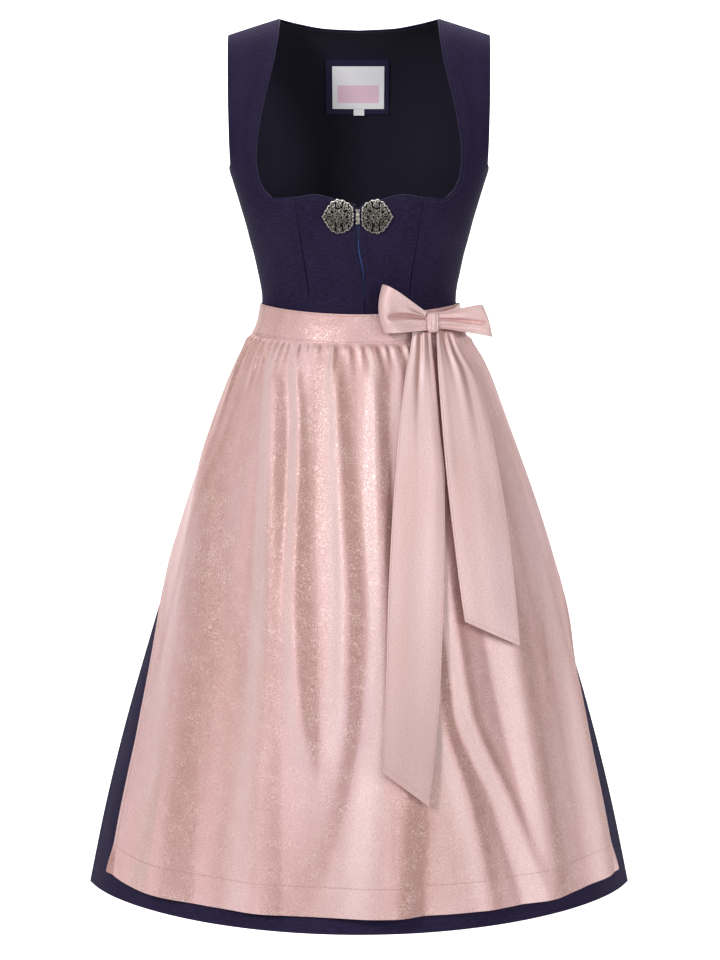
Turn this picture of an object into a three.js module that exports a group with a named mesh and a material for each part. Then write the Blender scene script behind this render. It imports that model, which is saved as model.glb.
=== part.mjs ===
import * as THREE from 'three';

// Dirndl as it hangs on a wearer: hollow bodice and skirt, gathered apron, bow.
// Millimetres, +Z up, front towards -Y. Origin: middle of the shoulder line.

// Sizes
const WAIST_Z = -368;
const HEM_Z = -1082;
const APRON_HEM_Z = -1061;
const SKIRT_LENGTH = WAIST_Z - HEM_Z;
const SEAM_GAP = 0.4;
const WALL = { cloth: 2, apron: 1.6, band: 1.6, tie: 1.4, lining: 1, label: 1, zip: 1.2 };

const COLOURS = {
  navy: '#25254a', lining: '#161628', rose: '#d2a5a3', white: '#f4f2f2', metal: '#8b8578', tape: '#2b3358',
};

// Small helpers
const lerp = (a, b, share) => a + (b - a) * share;
const radians = (turn) => turn * Math.PI / 180;
const range = (count) => Array.from({ length: count }, (_, k) => k);
const evenly = (count) => range(count + 1).map((k) => k / count);
const mirror = (shares) => [...shares.slice(1).reverse().map((u) => -u), ...shares];

function ease(from, to, value) {
  const share = Math.min(1, Math.max(0, (value - from) / (to - from)));
  return share * share * (3 - 2 * share);
}

// A smooth curve through the points of two table columns, with no overshoot
function curve(xs, ys) {
  const last = xs.length - 1;
  const steps = range(last).map((k) => xs[k + 1] - xs[k]);
  const rises = range(last).map((k) => (ys[k + 1] - ys[k]) / steps[k]);
  const slopes = xs.map((_, k) => {
    if (k === 0) return rises[0];
    if (k === last) return rises[last - 1];
    if (rises[k - 1] * rises[k] <= 0) return 0;
    const before = 2 * steps[k] + steps[k - 1];
    const after = steps[k] + 2 * steps[k - 1];
    return (before + after) / (before / rises[k - 1] + after / rises[k]);
  });
  return (x) => {
    const inside = Math.min(xs[last], Math.max(xs[0], x));
    let k = 0;
    while (k < last - 1 && inside > xs[k + 1]) k += 1;
    const t = (inside - xs[k]) / steps[k];
    const rise = ys[k + 1] - ys[k];
    const ends = steps[k] * (slopes[k] * t * (1 - t) ** 2 - slopes[k + 1] * t * t * (1 - t));
    return ys[k] + rise * t * t * (3 - 2 * t) + ends;
  };
}

// Reads a table: the first column is what the others depend on
function curves(names, rows) {
  const column = (k) => rows.map((row) => row[k]);
  return Object.fromEntries(names.slice(1).map((name, k) => [name, curve(column(0), column(k + 1))]));
}

// The worn form. The root is the square root of the drop below the shoulder line.
const form = curves(['root', 'halfWidth', 'front', 'back', 'frontPower', 'backPower'], [
  [0, 236, 0, 0, 0.45, 0.5],
  [2.45, 235, 16, 30, 0.45, 0.5],
  [3.46, 234, 24, 44, 0.45, 0.5],
  [5, 231, 36, 58, 0.44, 0.5],
  [7.42, 222, 55, 76, 0.43, 0.5],
  [9.75, 206, 75, 92, 0.42, 0.5],
  [11.83, 180, 96, 102, 0.4, 0.5],
  [13.11, 164.5, 108, 105, 0.38, 0.5],
  [13.96, 156.8, 113, 105, 0.37, 0.5],
  [15, 147.4, 115, 103, 0.36, 0.5],
  [16, 138.6, 113, 98, 0.38, 0.5],
  [17.32, 127.7, 104, 90, 0.43, 0.5],
  [18.57, 120.3, 94, 84, 0.5, 0.5],
  [19.24, 122.8, 94, 86, 0.5, 0.5],
  [19.67, 129, 97, 92, 0.5, 0.5],
  [20.49, 146.5, 108, 112, 0.5, 0.5],
  [21.68, 166.5, 124, 134, 0.5, 0.5],
  [23.35, 192.5, 147, 158, 0.52, 0.52],
  [25.9, 232.5, 182, 190, 0.56, 0.56],
  [27.84, 263.5, 207, 212, 0.6, 0.6],
  [29.58, 292, 228, 230, 0.64, 0.64],
  [31.27, 317.5, 246, 246, 0.68, 0.68],
  [32.89, 339, 256, 258, 0.7, 0.7],
]);
const NECK_HALF = 97;
const SHOULDER_SLOPE = 20 / 64;
const BUST = { x: 78, z: -232, spread: 42, rise: 16 };

const shoulderZ = (x) => -Math.max(0, Math.abs(x) - NECK_HALF) * SHOULDER_SLOPE;
const rootAt = (z) => Math.sqrt(Math.max(0, -z));
const halfWidthAt = (z) => form.halfWidth(rootAt(z));

// Turn 0 is the front, 90 the side at +X, 180 the back
function formPoint(turn, z) {
  const x = halfWidthAt(z) * Math.sin(radians(turn));
  const shoulder = shoulderZ(x) * (1 - ease(120, 220, -z));
  const root = Math.sqrt(Math.max(0, shoulder - z));
  const cosine = Math.cos(radians(turn));
  if (cosine < 0) {
    return new THREE.Vector3(x, form.back(root) * Math.abs(cosine) ** (2 * form.backPower(root)), z);
  }
  const bustX = (Math.abs(x) - BUST.x) / BUST.spread;
  const bustZ = (z - BUST.z) / BUST.spread;
  const bust = BUST.rise * Math.exp(-bustX * bustX - bustZ * bustZ);
  const depth = form.front(root) * cosine ** (2 * form.frontPower(root));
  return new THREE.Vector3(x, -depth - bust, z);
}

function formNormal(turn, z) {
  const along = formPoint(turn + 0.4, z).sub(formPoint(turn - 0.4, z));
  const down = formPoint(turn, z - 1.5).sub(formPoint(turn, z));
  return down.cross(along).normalize();
}

const turnAt = (x, z) => Math.asin(Math.max(-1, Math.min(1, x / halfWidthAt(z)))) * 180 / Math.PI;

// The turn at a side seam, half a seam gap away from the middle of the side
function sideTurn(z, depth, power) {
  const cosine = (SEAM_GAP / 2 / depth(rootAt(z))) ** (0.5 / power(rootAt(z)));
  return Math.acos(cosine) * 180 / Math.PI;
}
const frontSide = (z) => sideTurn(z, form.front, form.frontPower);
const backSide = (z) => 180 - sideTurn(z, form.back, form.backPower);

// One point of a wall: outer and inner face, lifted off the form by the given amount
function cell(turn, z, lift, wall, share) {
  const at = formPoint(turn, z);
  const normal = formNormal(turn, z);
  return {
    share,
    outer: at.clone().addScaledVector(normal, lift),
    inner: at.clone().addScaledVector(normal, lift - wall),
  };
}

// The same, for a lifted point that has to lie at the given x and z
function cellAt(x, z, lift, wall, share) {
  let [formX, formZ] = [x, z];
  for (const _ of range(8)) {
    const { outer } = cell(turnAt(formX, formZ), formZ, lift, wall, share);
    formX += x - outer.x;
    formZ += z - outer.z;
  }
  return cell(turnAt(formX, formZ), formZ, lift, wall, share);
}

// Triangles between rows that may hold different numbers of points
function joinRows(rows) {
  const starts = [];
  let total = 0;
  for (const row of rows) {
    starts.push(total);
    total += row.length;
  }
  const faces = [];
  for (let r = 0; r < rows.length - 1; r += 1) {
    const [top, low] = [rows[r], rows[r + 1]];
    let [i, j] = [0, 0];
    while (i < top.length - 1 || j < low.length - 1) {
      const [a, b] = [starts[r] + i, starts[r + 1] + j];
      const topNext = j === low.length - 1
        || (i < top.length - 1 && top[i + 1].share <= low[j + 1].share + 1e-9);
      faces.push(topNext ? [a, b, a + 1] : [a, b, b + 1]);
      if (topNext) i += 1; else j += 1;
    }
  }
  return faces;
}

// A closed body from an outer skin, its inner skin and a rim round every open edge
function closedBody(name, cells, faces, colour, look = {}) {
  const count = cells.length;
  const open = new Map();
  for (const [a, b, c] of faces) {
    for (const [from, to] of [[a, b], [b, c], [c, a]]) {
      if (!open.delete(`${to} ${from}`)) open.set(`${from} ${to}`, [from, to]);
    }
  }
  const triangles = [...faces, ...faces.map(([a, b, c]) => [a + count, c + count, b + count])];
  for (const [from, to] of open.values()) {
    triangles.push([to, from, from + count], [to, from + count, to + count]);
  }
  const points = [...cells.map((c) => c.outer), ...cells.map((c) => c.inner)];
  const volume = triangles.reduce((sum, [a, b, c]) => (
    sum + points[a].dot(points[b].clone().cross(points[c]))), 0);
  const geometry = new THREE.BufferGeometry().setFromPoints(points);
  geometry.setIndex(triangles.flatMap(([a, b, c]) => (volume > 0 ? [a, b, c] : [a, c, b])));
  geometry.computeVertexNormals();
  const material = new THREE.MeshStandardMaterial({
    color: COLOURS[colour], roughness: look.roughness ?? 0.8, metalness: look.metalness ?? 0,
  });
  material.name = colour;
  const mesh = new THREE.Mesh(geometry, material);
  mesh.name = name;
  return mesh;
}

const cloth = (name, rows, colour) => closedBody(name, rows.flat(), joinRows(rows), colour);

// A panel whose map gives turn, height and lift for a share across and a share up
function panel(name, across, up, wall, colour, map) {
  const rows = up.map((v) => across.map((u) => {
    const [turn, z, lift = 0] = map(u, v);
    return cell(turn, z, lift, wall, u);
  }));
  return cloth(name, rows, colour);
}

// Bodice
const waistZ = (turn) => WAIST_Z - 8 * Math.max(0, Math.cos(radians(turn))) ** 2;
const neckFront = curve([0, 24, 54, 86, 104], [-226.5, -220, -213, -217.6, -217.7]);
const neckBack = curve([0, 40, 75, NECK_HALF], [-12.4, -10.6, -5, 0]);
const princess = curve([-376, -330, -280, -213], [60, 61, 68, 78]);
const slitMiddle = curve([-376, -344, -309, -275, -226], [7, 6.6, 5, -0.6, -2]);
const slitWidth = curve([-376, -344, -309, -275, -226], [1, 1.3, 3.6, 6, 5]);

// Side fronts, one row per section: x and z of the inner edge, x and z of the outer edge
const sideFrontRows = [
  [60, -374, 200, -368],
  [60.2, -360, 200, -356],
  [60.6, -345, 200, -345],
  [63, -318, 200, -322],
  [68, -286, 200, -295],
  [73, -252, 200, -264],
  [78, -215, 200, -230],
  [91, -217.7, 200, -213],
  [104, -217.7, 200, -196],
  [115, -208, 157.4, -182],
  [121.5, -194, 158, -166],
  [124.6, -174, 158.6, -148],
  [124, -150, 159, -128],
  [119.5, -120, 159.6, -103],
  [112.5, -88, 160, -76],
  [104, -54, 160.4, -50],
  [99, -24, 160.6, -34],
  [NECK_HALF, -0.04, 160.8, -19.98],
];

// Side backs, one row per section, with the inner edge on the back seam
const sideBackRows = [
  [50, -368, 200, -368],
  [50.5, -356, 200, -356],
  [51.5, -345, 200, -345],
  [54, -320, 200, -322],
  [60, -290, 200, -295],
  [68, -262, 200, -268],
  [80, -232, 200, -240],
  [98, -200, 200, -214],
  [117, -176, 200, -196],
  [134, -157, 157.4, -182],
  [147, -142, 158, -163],
  [153, -134, 158.6, -146],
];

const heightOf = (rows, k) => curve(evenly(rows.length - 1), rows.map((row) => row[k]));
const backSeamX = curve(sideBackRows.map((row) => row[1]), sideBackRows.map((row) => row[0]));

function sideFront(name, side) {
  const rows = sideFrontRows.map(([innerX, innerZ, outerX, outerZ]) => {
    const inner = turnAt(innerX + (innerZ < -214 ? SEAM_GAP / 2 : 0), innerZ);
    const outer = Math.min(turnAt(outerX, outerZ), frontSide(outerZ));
    return evenly(8).map((u) => {
      let turn = lerp(inner, outer, u);
      let z = lerp(innerZ, outerZ, u);
      if (outerX < 200) turn = turnAt(lerp(innerX, outerX, u), z);
      if (innerZ === -374) z = waistZ(turn);
      return cell(side * turn, z, 0, WALL.cloth, u);
    });
  });
  return cloth(name, rows, 'navy');
}

function sideBack(name, side) {
  const rows = sideBackRows.map(([innerX, innerZ, outerX, outerZ]) => {
    const inner = 180 - turnAt(innerX + SEAM_GAP / 2, innerZ);
    const outer = Math.max(180 - turnAt(outerX, outerZ), backSide(outerZ));
    return evenly(7).map((u) => cell(side * lerp(inner, outer, u), lerp(innerZ, outerZ, u), 0, WALL.cloth, u));
  });
  return cloth(name, rows, 'navy');
}

function bodiceFront(name, side) {
  return panel(name, evenly(7), evenly(8), WALL.cloth, 'navy', (u, v) => {
    const foot = waistZ(turnAt(lerp(0, 60, u), WAIST_Z));
    const z = lerp(foot, neckFront(lerp(0, 78, u)), v);
    const slit = slitMiddle(z) + side * slitWidth(z) / 2;
    const x = lerp(slit, side * (princess(z) - SEAM_GAP / 2), u);
    return [turnAt(x, z), z];
  });
}

// The back between its two seams, up to the neck and the shoulders
const armholeX = curve([-196, -160, -100, -50, -19.98], [156.8, 158.2, 159.6, 160.4, 160.8]);
const backNeckZ = (x) => (Math.abs(x) > NECK_HALF ? shoulderZ(x) : neckBack(Math.abs(x))) - 0.04;
const backShares = mirror([0, 0.14, 0.28, 0.42, 0.565, 0.72, 0.86, 1]);
const backHeights = [-368, -356, -345, -320, -290, -262, -232, -200, -176, -157, -142, -133, -100, -70, -42, -19.98];

function backGrid(name, wall, lift, colour, edgeTurn) {
  const top = backHeights[backHeights.length - 1];
  const rows = backHeights.map((height) => {
    const share = ease(-200, top, height);
    return backShares.map((u) => {
      const edge = 180 - edgeTurn(height);
      const turn = 180 - u * edge;
      const topX = halfWidthAt(top) * Math.sin(radians(u * (180 - edgeTurn(top))));
      const z = height + (backNeckZ(topX) - top) * share;
      return cell(turn, z, lift, wall, u);
    });
  });
  return cloth(name, rows, colour);
}

function centreBackEdge(z) {
  if (z > -130) return 180 - turnAt(armholeX(z), z);
  return 180 - turnAt(backSeamX(z) - SEAM_GAP / 2, z);
}

function liningEdge(z) {
  return z > -196 ? 180 - turnAt(armholeX(z), z) : backSide(z) + 1.5;
}

// Patch, label and tab on the inside of the back: x from, x to, z from, z to, lift
const patches = [
  ['label_patch', -42.5, 38, -114, -45, -5.7, 'lining'],
  ['label', -34, 32, -107, -53, -7.4, 'white'],
  ['size_tab', -7, 6.6, -115.4, -107.4, -7.4, 'white'],
];

function patch([name, fromX, toX, fromZ, toZ, lift, colour]) {
  return panel(name, evenly(4), evenly(3), WALL.label, colour, (u, v) => {
    const z = lerp(fromZ, toZ, v);
    return [180 - turnAt(lerp(fromX, toX, u), z), z, lift];
  });
}

function zipTape() {
  return panel('zip', evenly(2), evenly(8), WALL.zip, 'tape', (u, v) => {
    const z = lerp(-366, -229, v);
    return [turnAt(slitMiddle(z) + lerp(-11, 11, u), z), z, -3];
  });
}

// Clasp: radius of the outline by the angle from the outer point
const claspOutline = curve([0, 15, 35, 60, 90, 115, 140, 160, 180], [19.8, 17.9, 17.2, 18.8, 20.2, 19.6, 19.9, 18.4, 17]);
const claspDome = [[0, 4.6], [0.6, 4.2], [0.9, 3.5], [1, 2.6]];
const CLASP = { z: -239, left: -24.2, right: 20.6, base: 0.5, lobes: 12, lobeDepth: 0.6, angles: 36 };

function claspHalf(name, middleX, side) {
  const cells = [];
  const faces = [];
  const place = (radius, angle, top) => {
    const x = middleX + side * radius * Math.cos(angle);
    const z = CLASP.z + radius * Math.sin(angle);
    return cellAt(x, z, top, top - CLASP.base, 0);
  };
  for (const [share, top] of claspDome) {
    for (const k of range(share === 0 ? 1 : CLASP.angles)) {
      const angle = k / CLASP.angles * 2 * Math.PI;
      const fromPoint = Math.abs(angle > Math.PI ? angle - 2 * Math.PI : angle) * 180 / Math.PI;
      const lobes = CLASP.lobeDepth * Math.cos(CLASP.lobes * angle) * ease(0.7, 1, share);
      cells.push(place(share * (claspOutline(fromPoint) + lobes), angle, top));
    }
  }
  for (const k of range(CLASP.angles)) {
    const next = (k + 1) % CLASP.angles;
    faces.push([0, 1 + k, 1 + next]);
    for (const ring of range(claspDome.length - 2)) {
      const [near, far] = [1 + ring * CLASP.angles, 1 + (ring + 1) * CLASP.angles];
      faces.push([near + k, far + k, far + next], [near + k, far + next, near + next]);
    }
  }
  return closedBody(name, cells, faces, 'metal', { roughness: 0.4, metalness: 1 });
}

// The small bar that hooks one half into the other
function claspHook() {
  const [fromX, toX, height] = [-3.4, 0.4, 18];
  const rows = evenly(8).map((v) => evenly(4).map((u) => {
    const z = CLASP.z + lerp(-height / 2, height / 2, v);
    const rounded = 5.2 - 1.6 * (2 * u - 1) ** 2 - 1.2 * (2 * v - 1) ** 4;
    return cell(turnAt(lerp(fromX, toX, u), z), z, rounded, rounded - 0.7, u);
  }));
  return closedBody('clasp_hook', rows.flat(), joinRows(rows), 'metal', { roughness: 0.4, metalness: 1 });
}

// Skirt. Soft folds of the sides and the back, one row each: turn, rise at the hem, spread
const skirtFolds = [[92, 3, 9], [113, 10, 8], [137, 11, 9], [160, 9, 8], [180, 10, 8]];
const BACK_GATHERS = 24;

function skirtLift(turn, z) {
  const drop = Math.max(0, WAIST_Z - 20 - z);
  const grown = (drop / SKIRT_LENGTH) ** 0.8;
  const around = Math.abs(turn);
  const folds = skirtFolds.reduce((sum, [at, rise, spread]) => (
    sum + rise * Math.exp(-(((around - at) / spread) ** 2))), 0);
  const gathers = 1.3 * (1 - Math.cos(radians(around) * BACK_GATHERS * 2))
    * ease(106, 114, around) * ease(0, 14, drop) * Math.exp(-drop / 55);
  return grown * (folds - 4 * ease(92, 112, around)) + gathers;
}

const skirtDrops = [0, 20, 36, 58, 90, 140, 215, 310, 420, 560, SKIRT_LENGTH];

function skirtPanel(name, edges, columnsAt) {
  const rows = skirtDrops.map((drop, r) => evenly(columnsAt(r)).map((u) => {
    const height = WAIST_Z - SEAM_GAP - drop;
    const [from, to] = edges(height);
    const turn = lerp(from, to, u);
    const z = lerp(waistZ(turn) - 1.3 * SEAM_GAP, HEM_Z, drop / SKIRT_LENGTH);
    return cell(turn, z, skirtLift(turn, z), WALL.cloth, u);
  }));
  return cloth(name, rows, 'navy');
}

// Apron. Its side edges by height: turn on the left and on the right
const apronEdge = curves(['z', 'left', 'right'], [
  [-1061, -65, 68],
  [-1000, -65.5, 68.5],
  [-900, -65.6, 68.4],
  [-850, -66.8, 70],
  [-800, -69, 73.4],
  [-750, -73.2, 78.6],
  [-715, -79, 82],
  [-685, -85, 85.5],
  [-640, -90, 88.5],
  [-500, -94, 90],
  [-387, -98, 86],
]);

// Folds, one row each: turn at z -430, -700 and -1040, rise at the same heights, spread
const apronFolds = [
  [-84, -78, -62, 0, 1, 3, 6],
  [-72, -66, -54, -1, -2, -4, 5],
  [-61, -54, -42, 3, 5, 6, 7],
  [-47, -41, -23, -3, -6, -7, 7],
  [-42, -28, -12, 3.5, 6, 5, 4.5],
  [-34, -21, -5, -3, -2, -4, 4],
  [-18, -14, 2, 2.5, 3.5, 2, 4],
  [-12, -5, 0, -3, -3.5, -1, 4],
  [-3, 4, 8, 2.5, 3, 5, 5],
  [15, 11, 15, -3, -2, -4.5, 4],
  [22, 21, 25, 2, 3, 5, 4],
  [32, 31, 34, -1, -3, -4, 4],
  [45, 45, 43, 2, 4, 6, 5],
  [60, 57, 56, -1, -3, -4, 5],
  [80, 72, 65, 3, 4, 3, 7],
];
const foldHeights = [-1040, -700, -430];
const foldCurves = apronFolds.map(([top, middle, low, topRise, middleRise, lowRise, spread]) => ({
  turn: curve(foldHeights, [low, middle, top]),
  rise: curve(foldHeights, [lowRise, middleRise, topRise]),
  spread,
}));
const APRON_GATHERS = 34;

function apronLift(turn, z, share) {
  const drop = Math.max(0, -390 - z);
  const folds = foldCurves.reduce((sum, fold) => (
    sum + fold.rise(z) * Math.exp(-(((turn - fold.turn(z)) / fold.spread) ** 2))), 0);
  const gathers = 0.9 * (1 - Math.cos(share * APRON_GATHERS * 2 * Math.PI)) * Math.exp(-drop / 45);
  const least = 2.2 + 1.2 * ease(0, 40, drop);
  const base = 2.2 + (2 * ease(0, 40, drop) + 2.5 * ease(40, 260, drop)) * ease(-92, -64, turn);
  return Math.max(least, base + folds * ease(0, 60, drop)) + gathers + Math.max(0, skirtLift(turn, z));
}

const bandTop = (turn) => -349 - 8.4 * Math.max(0, Math.cos(radians(turn))) ** 2;
const bandBottom = (turn) => -387.4 - 6.7 * Math.max(0, Math.cos(radians(turn))) ** 2;
const APRON_LENGTH = 672;
const apronDrops = [0, 9, 24, 48, 85, 140, 210, 290, 370, 450, 530, 610, APRON_LENGTH];

function apronSkirt() {
  const rows = apronDrops.map((drop) => evenly(drop < 50 ? APRON_GATHERS * 3 : 50).map((u) => {
    const height = -387.4 - drop;
    const turn = lerp(apronEdge.left(height), apronEdge.right(height), u);
    const corner = 10 * Math.abs(2 * u - 1) ** 8;
    const z = lerp(bandBottom(turn) - SEAM_GAP, APRON_HEM_Z + corner, drop / APRON_LENGTH);
    return cell(turn, z, apronLift(turn, z, u), WALL.apron, u);
  }));
  return cloth('apron_skirt', rows, 'rose');
}

// Waistband of the apron and the tie that goes on from it round the back to the knot
const bandLift = (v) => lerp(4.2, 2.3, v) + 0.5 * Math.sin(Math.PI * v);

function waistband() {
  return panel('apron_waistband', evenly(36), evenly(3), WALL.band, 'rose', (u, v) => {
    const turn = lerp(-104, 86, u);
    return [turn, lerp(bandBottom(turn), bandTop(turn), v), bandLift(v)];
  });
}

const TIE = { from: 255.7, to: 36, over: 2.7, folds: 3 };

function tie() {
  return panel('tie_back', evenly(38), evenly(3), WALL.tie, 'rose', (u, v) => {
    const turn = lerp(TIE.from, TIE.to, u);
    const pinch = 1 - ease(84, 52, turn);
    const middle = lerp(-368, (bandTop(turn) + bandBottom(turn)) / 2, pinch);
    const half = (bandTop(turn) - bandBottom(turn)) / 2 * lerp(0.62, 1, pinch);
    const folds = 0.6 * (1 + Math.cos(v * TIE.folds * 2 * Math.PI)) * (1 - pinch) * ease(46, 54, turn);
    const over = TIE.over * ease(98, 89, turn);
    return [turn, lerp(middle - half, middle + half, v), bandLift(v) + over + folds];
  });
}

// Bow
const KNOT = { x: 88, y: -83.9, z: -368, lean: 34, wide: 9, deep: 7.5, tall: 12 };

function knot() {
  const lean = radians(KNOT.lean);
  const along = new THREE.Vector3(Math.cos(lean), Math.sin(lean), 0);
  const out = new THREE.Vector3(Math.sin(lean), -Math.cos(lean), 0);
  const geometry = new THREE.SphereGeometry(1, 16, 12);
  const points = geometry.getAttribute('position');
  const square = (value, power) => Math.sign(value) * Math.abs(value) ** power;
  for (const k of range(points.count)) {
    const [u, v, w] = [points.getX(k), points.getY(k), points.getZ(k)];
    const waist = 1 - 0.1 * (1 - v * v);
    const at = new THREE.Vector3(KNOT.x, KNOT.y, KNOT.z + KNOT.tall * square(v, 0.75))
      .addScaledVector(along, KNOT.wide * waist * square(u, 0.8))
      .addScaledVector(out, KNOT.deep * square(w, 0.8));
    points.setXYZ(k, at.x, at.y, at.z);
  }
  return sphereBody('bow_knot', geometry, 16, 12);
}

// The sphere's grid with its seam and poles joined, so that the body is closed
function sphereBody(name, geometry, around, down) {
  const source = geometry.getAttribute('position');
  const point = (ring, k) => new THREE.Vector3().fromBufferAttribute(source, ring * (around + 1) + (k % around));
  const points = [point(0, 0)];
  for (const ring of range(down - 1)) for (const k of range(around)) points.push(point(ring + 1, k));
  points.push(point(down, 0));
  const at = (ring, k) => 1 + ring * around + (k % around);
  const triangles = [];
  for (const k of range(around)) {
    triangles.push([0, at(0, k), at(0, k + 1)]);
    triangles.push([at(down - 2, k), points.length - 1, at(down - 2, k + 1)]);
    for (const ring of range(down - 2)) {
      triangles.push([at(ring, k), at(ring + 1, k), at(ring + 1, k + 1)]);
      triangles.push([at(ring, k), at(ring + 1, k + 1), at(ring, k + 1)]);
    }
  }
  const volume = triangles.reduce((sum, [a, b, c]) => (
    sum + points[a].dot(points[b].clone().cross(points[c]))), 0);
  const body = new THREE.BufferGeometry().setFromPoints(points);
  body.setIndex(triangles.flatMap(([a, b, c]) => (volume > 0 ? [a, b, c] : [a, c, b])));
  body.computeVertexNormals();
  const material = new THREE.MeshStandardMaterial({ color: COLOURS.rose, roughness: 0.7 });
  material.name = 'rose';
  const mesh = new THREE.Mesh(body, material);
  mesh.name = name;
  return mesh;
}

// Loops: direction, length along the top and the bottom edge, heights at the knot and at the end
const loops = {
  left: { dir: [-0.925, -0.38], length: [55, 53], bulge: 6, near: [-356, -376.5], end: [-320.5, -378.8], out: 13, start: 8.5 },
  right: { dir: [0.94, 0.34], length: [57, 70], bulge: 2, near: [-356, -374], end: [-347, -387], out: 13, start: 8.5 },
};

function bowLoop(name, { dir, length, bulge, near, end, out, start }) {
  const along = new THREE.Vector3(dir[0], dir[1], 0).normalize();
  const front = new THREE.Vector3(along.y, -along.x, 0);
  if (front.y > 0) front.negate();
  const path = (q, v) => {
    const reach = (1 - Math.abs(2 * q - 1) ** 2.2) ** 0.8;
    const far = lerp(length[0], length[1], v) + bulge * Math.sin(Math.PI * v);
    const side = q < 0.5 ? 2 : out;
    const depth = -side * Math.sin(2 * Math.PI * q) * (1 - 0.35 * Math.sin(Math.PI * v) * ease(0.5, 1, q));
    const z = lerp(lerp(near[0], end[0], reach), lerp(near[1], end[1], reach), v);
    return new THREE.Vector3(KNOT.x, KNOT.y, z)
      .addScaledVector(along, start + reach * far)
      .addScaledVector(front, 2.2 * (2 * q - 1) + depth);
  };
  const rows = evenly(5).map((v) => evenly(20).map((q) => {
    const outer = path(q, v);
    const step = path(Math.min(1, q + 0.01), v).sub(path(Math.max(0, q - 0.01), v)).setZ(0).normalize();
    const normal = new THREE.Vector3(step.y, -step.x, 0);
    return { share: q, outer, inner: outer.clone().addScaledVector(normal, WALL.tie) };
  }));
  return closedBody(name, rows.flat(), joinRows(rows), 'rose', { roughness: 0.7 });
}

// Hanging ends, one row per section: left x and z, right x and z, lift off the form
const tailRows = {
  left: [
    [65, -378, 87, -380.2, 13.5],
    [62, -400, 89, -404, 13.5],
    [57, -424, 92, -432, 14.5],
    [49.5, -481, 97, -492, 15.5],
    [44, -540, 103, -552, 16],
    [40, -590, 102.5, -606, 16.5],
    [34.6, -690, 100, -708, 17.5],
    [32, -782, 96, -800, 18.5],
    [29.5, -835, 90.5, -862, 19],
    [27, -884, 82.5, -929, 19],
  ],
  right: [
    [94.5, -377.8, 115, -381.4, 13],
    [95, -400, 126, -404, 17],
    [96, -425, 142, -430, 20],
    [99.6, -478, 157, -482, 22],
    [103, -520, 166.5, -528, 23],
    [108, -572, 176, -584, 24],
    [115.5, -636, 185, -655, 24.5],
    [121, -680, 190, -706, 25],
    [126.5, -717, 193.5, -752, 25],
  ],
};
const tailFolds = { left: [2, 1.6], right: [2.5, 2.2] };

function tail(name, rows, [waves, rise]) {
  return cloth(name, rows.map(([leftX, leftZ, rightX, rightZ, lift], r) => evenly(10).map((u) => {
    const fold = rise * Math.cos(u * waves * 2 * Math.PI) * (0.4 + 0.6 * Math.exp(-r / 3));
    return cellAt(lerp(leftX, rightX, u), lerp(leftZ, rightZ, u), lift + fold, WALL.tie, u);
  })), 'rose');
}

// The whole dress
const dirndl = new THREE.Group();
dirndl.name = 'dirndl';
dirndl.add(
  bodiceFront('bodice_front_left', -1),
  bodiceFront('bodice_front_right', 1),
  sideFront('side_front_left', -1),
  sideFront('side_front_right', 1),
  sideBack('side_back_left', -1),
  sideBack('side_back_right', 1),
  backGrid('bodice_back', WALL.cloth, 0, 'navy', centreBackEdge),
  backGrid('back_lining', WALL.lining, -3.3, 'lining', liningEdge),
  ...patches.map(patch),
  zipTape(),
  claspHalf('clasp_left', CLASP.left, -1),
  claspHalf('clasp_right', CLASP.right, 1),
  claspHook(),
  skirtPanel('skirt_front', (z) => [-frontSide(z), frontSide(z)], () => 26),
  skirtPanel('skirt_back_left', (z) => [-backSide(z), -179.92], (r) => (r < 4 ? 36 : 20)),
  skirtPanel('skirt_back_right', (z) => [179.92, backSide(z)], (r) => (r < 4 ? 36 : 20)),
  apronSkirt(),
  waistband(),
  tie(),
  knot(),
  bowLoop('bow_loop_left', loops.left),
  bowLoop('bow_loop_right', loops.right),
  tail('tail_left', tailRows.left, tailFolds.left),
  tail('tail_right', tailRows.right, tailFolds.right),
);

export default dirndl;
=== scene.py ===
import math
import bpy
import numpy as np
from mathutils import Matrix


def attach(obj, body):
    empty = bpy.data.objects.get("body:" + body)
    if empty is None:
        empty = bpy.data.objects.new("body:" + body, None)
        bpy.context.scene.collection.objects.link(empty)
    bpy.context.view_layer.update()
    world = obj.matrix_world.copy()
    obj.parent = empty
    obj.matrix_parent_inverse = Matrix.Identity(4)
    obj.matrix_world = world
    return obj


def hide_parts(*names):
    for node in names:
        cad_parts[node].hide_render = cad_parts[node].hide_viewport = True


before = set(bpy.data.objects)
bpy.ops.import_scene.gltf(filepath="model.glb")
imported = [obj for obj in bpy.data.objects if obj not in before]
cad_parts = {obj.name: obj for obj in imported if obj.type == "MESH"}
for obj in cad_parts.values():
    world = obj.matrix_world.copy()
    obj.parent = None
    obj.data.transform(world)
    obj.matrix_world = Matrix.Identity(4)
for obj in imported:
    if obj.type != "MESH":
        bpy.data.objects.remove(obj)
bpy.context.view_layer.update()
print("frame loaded")


# Small helpers
def lerp(a, b, share):
    return a + (b - a) * share


def ease(start, stop, value):
    share = np.clip((np.asarray(value, float) - start) / (stop - start), 0, 1)
    return share * share * (3 - 2 * share)


def bell(offset, spread):
    return np.exp(-(offset / spread) ** 2)


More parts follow.
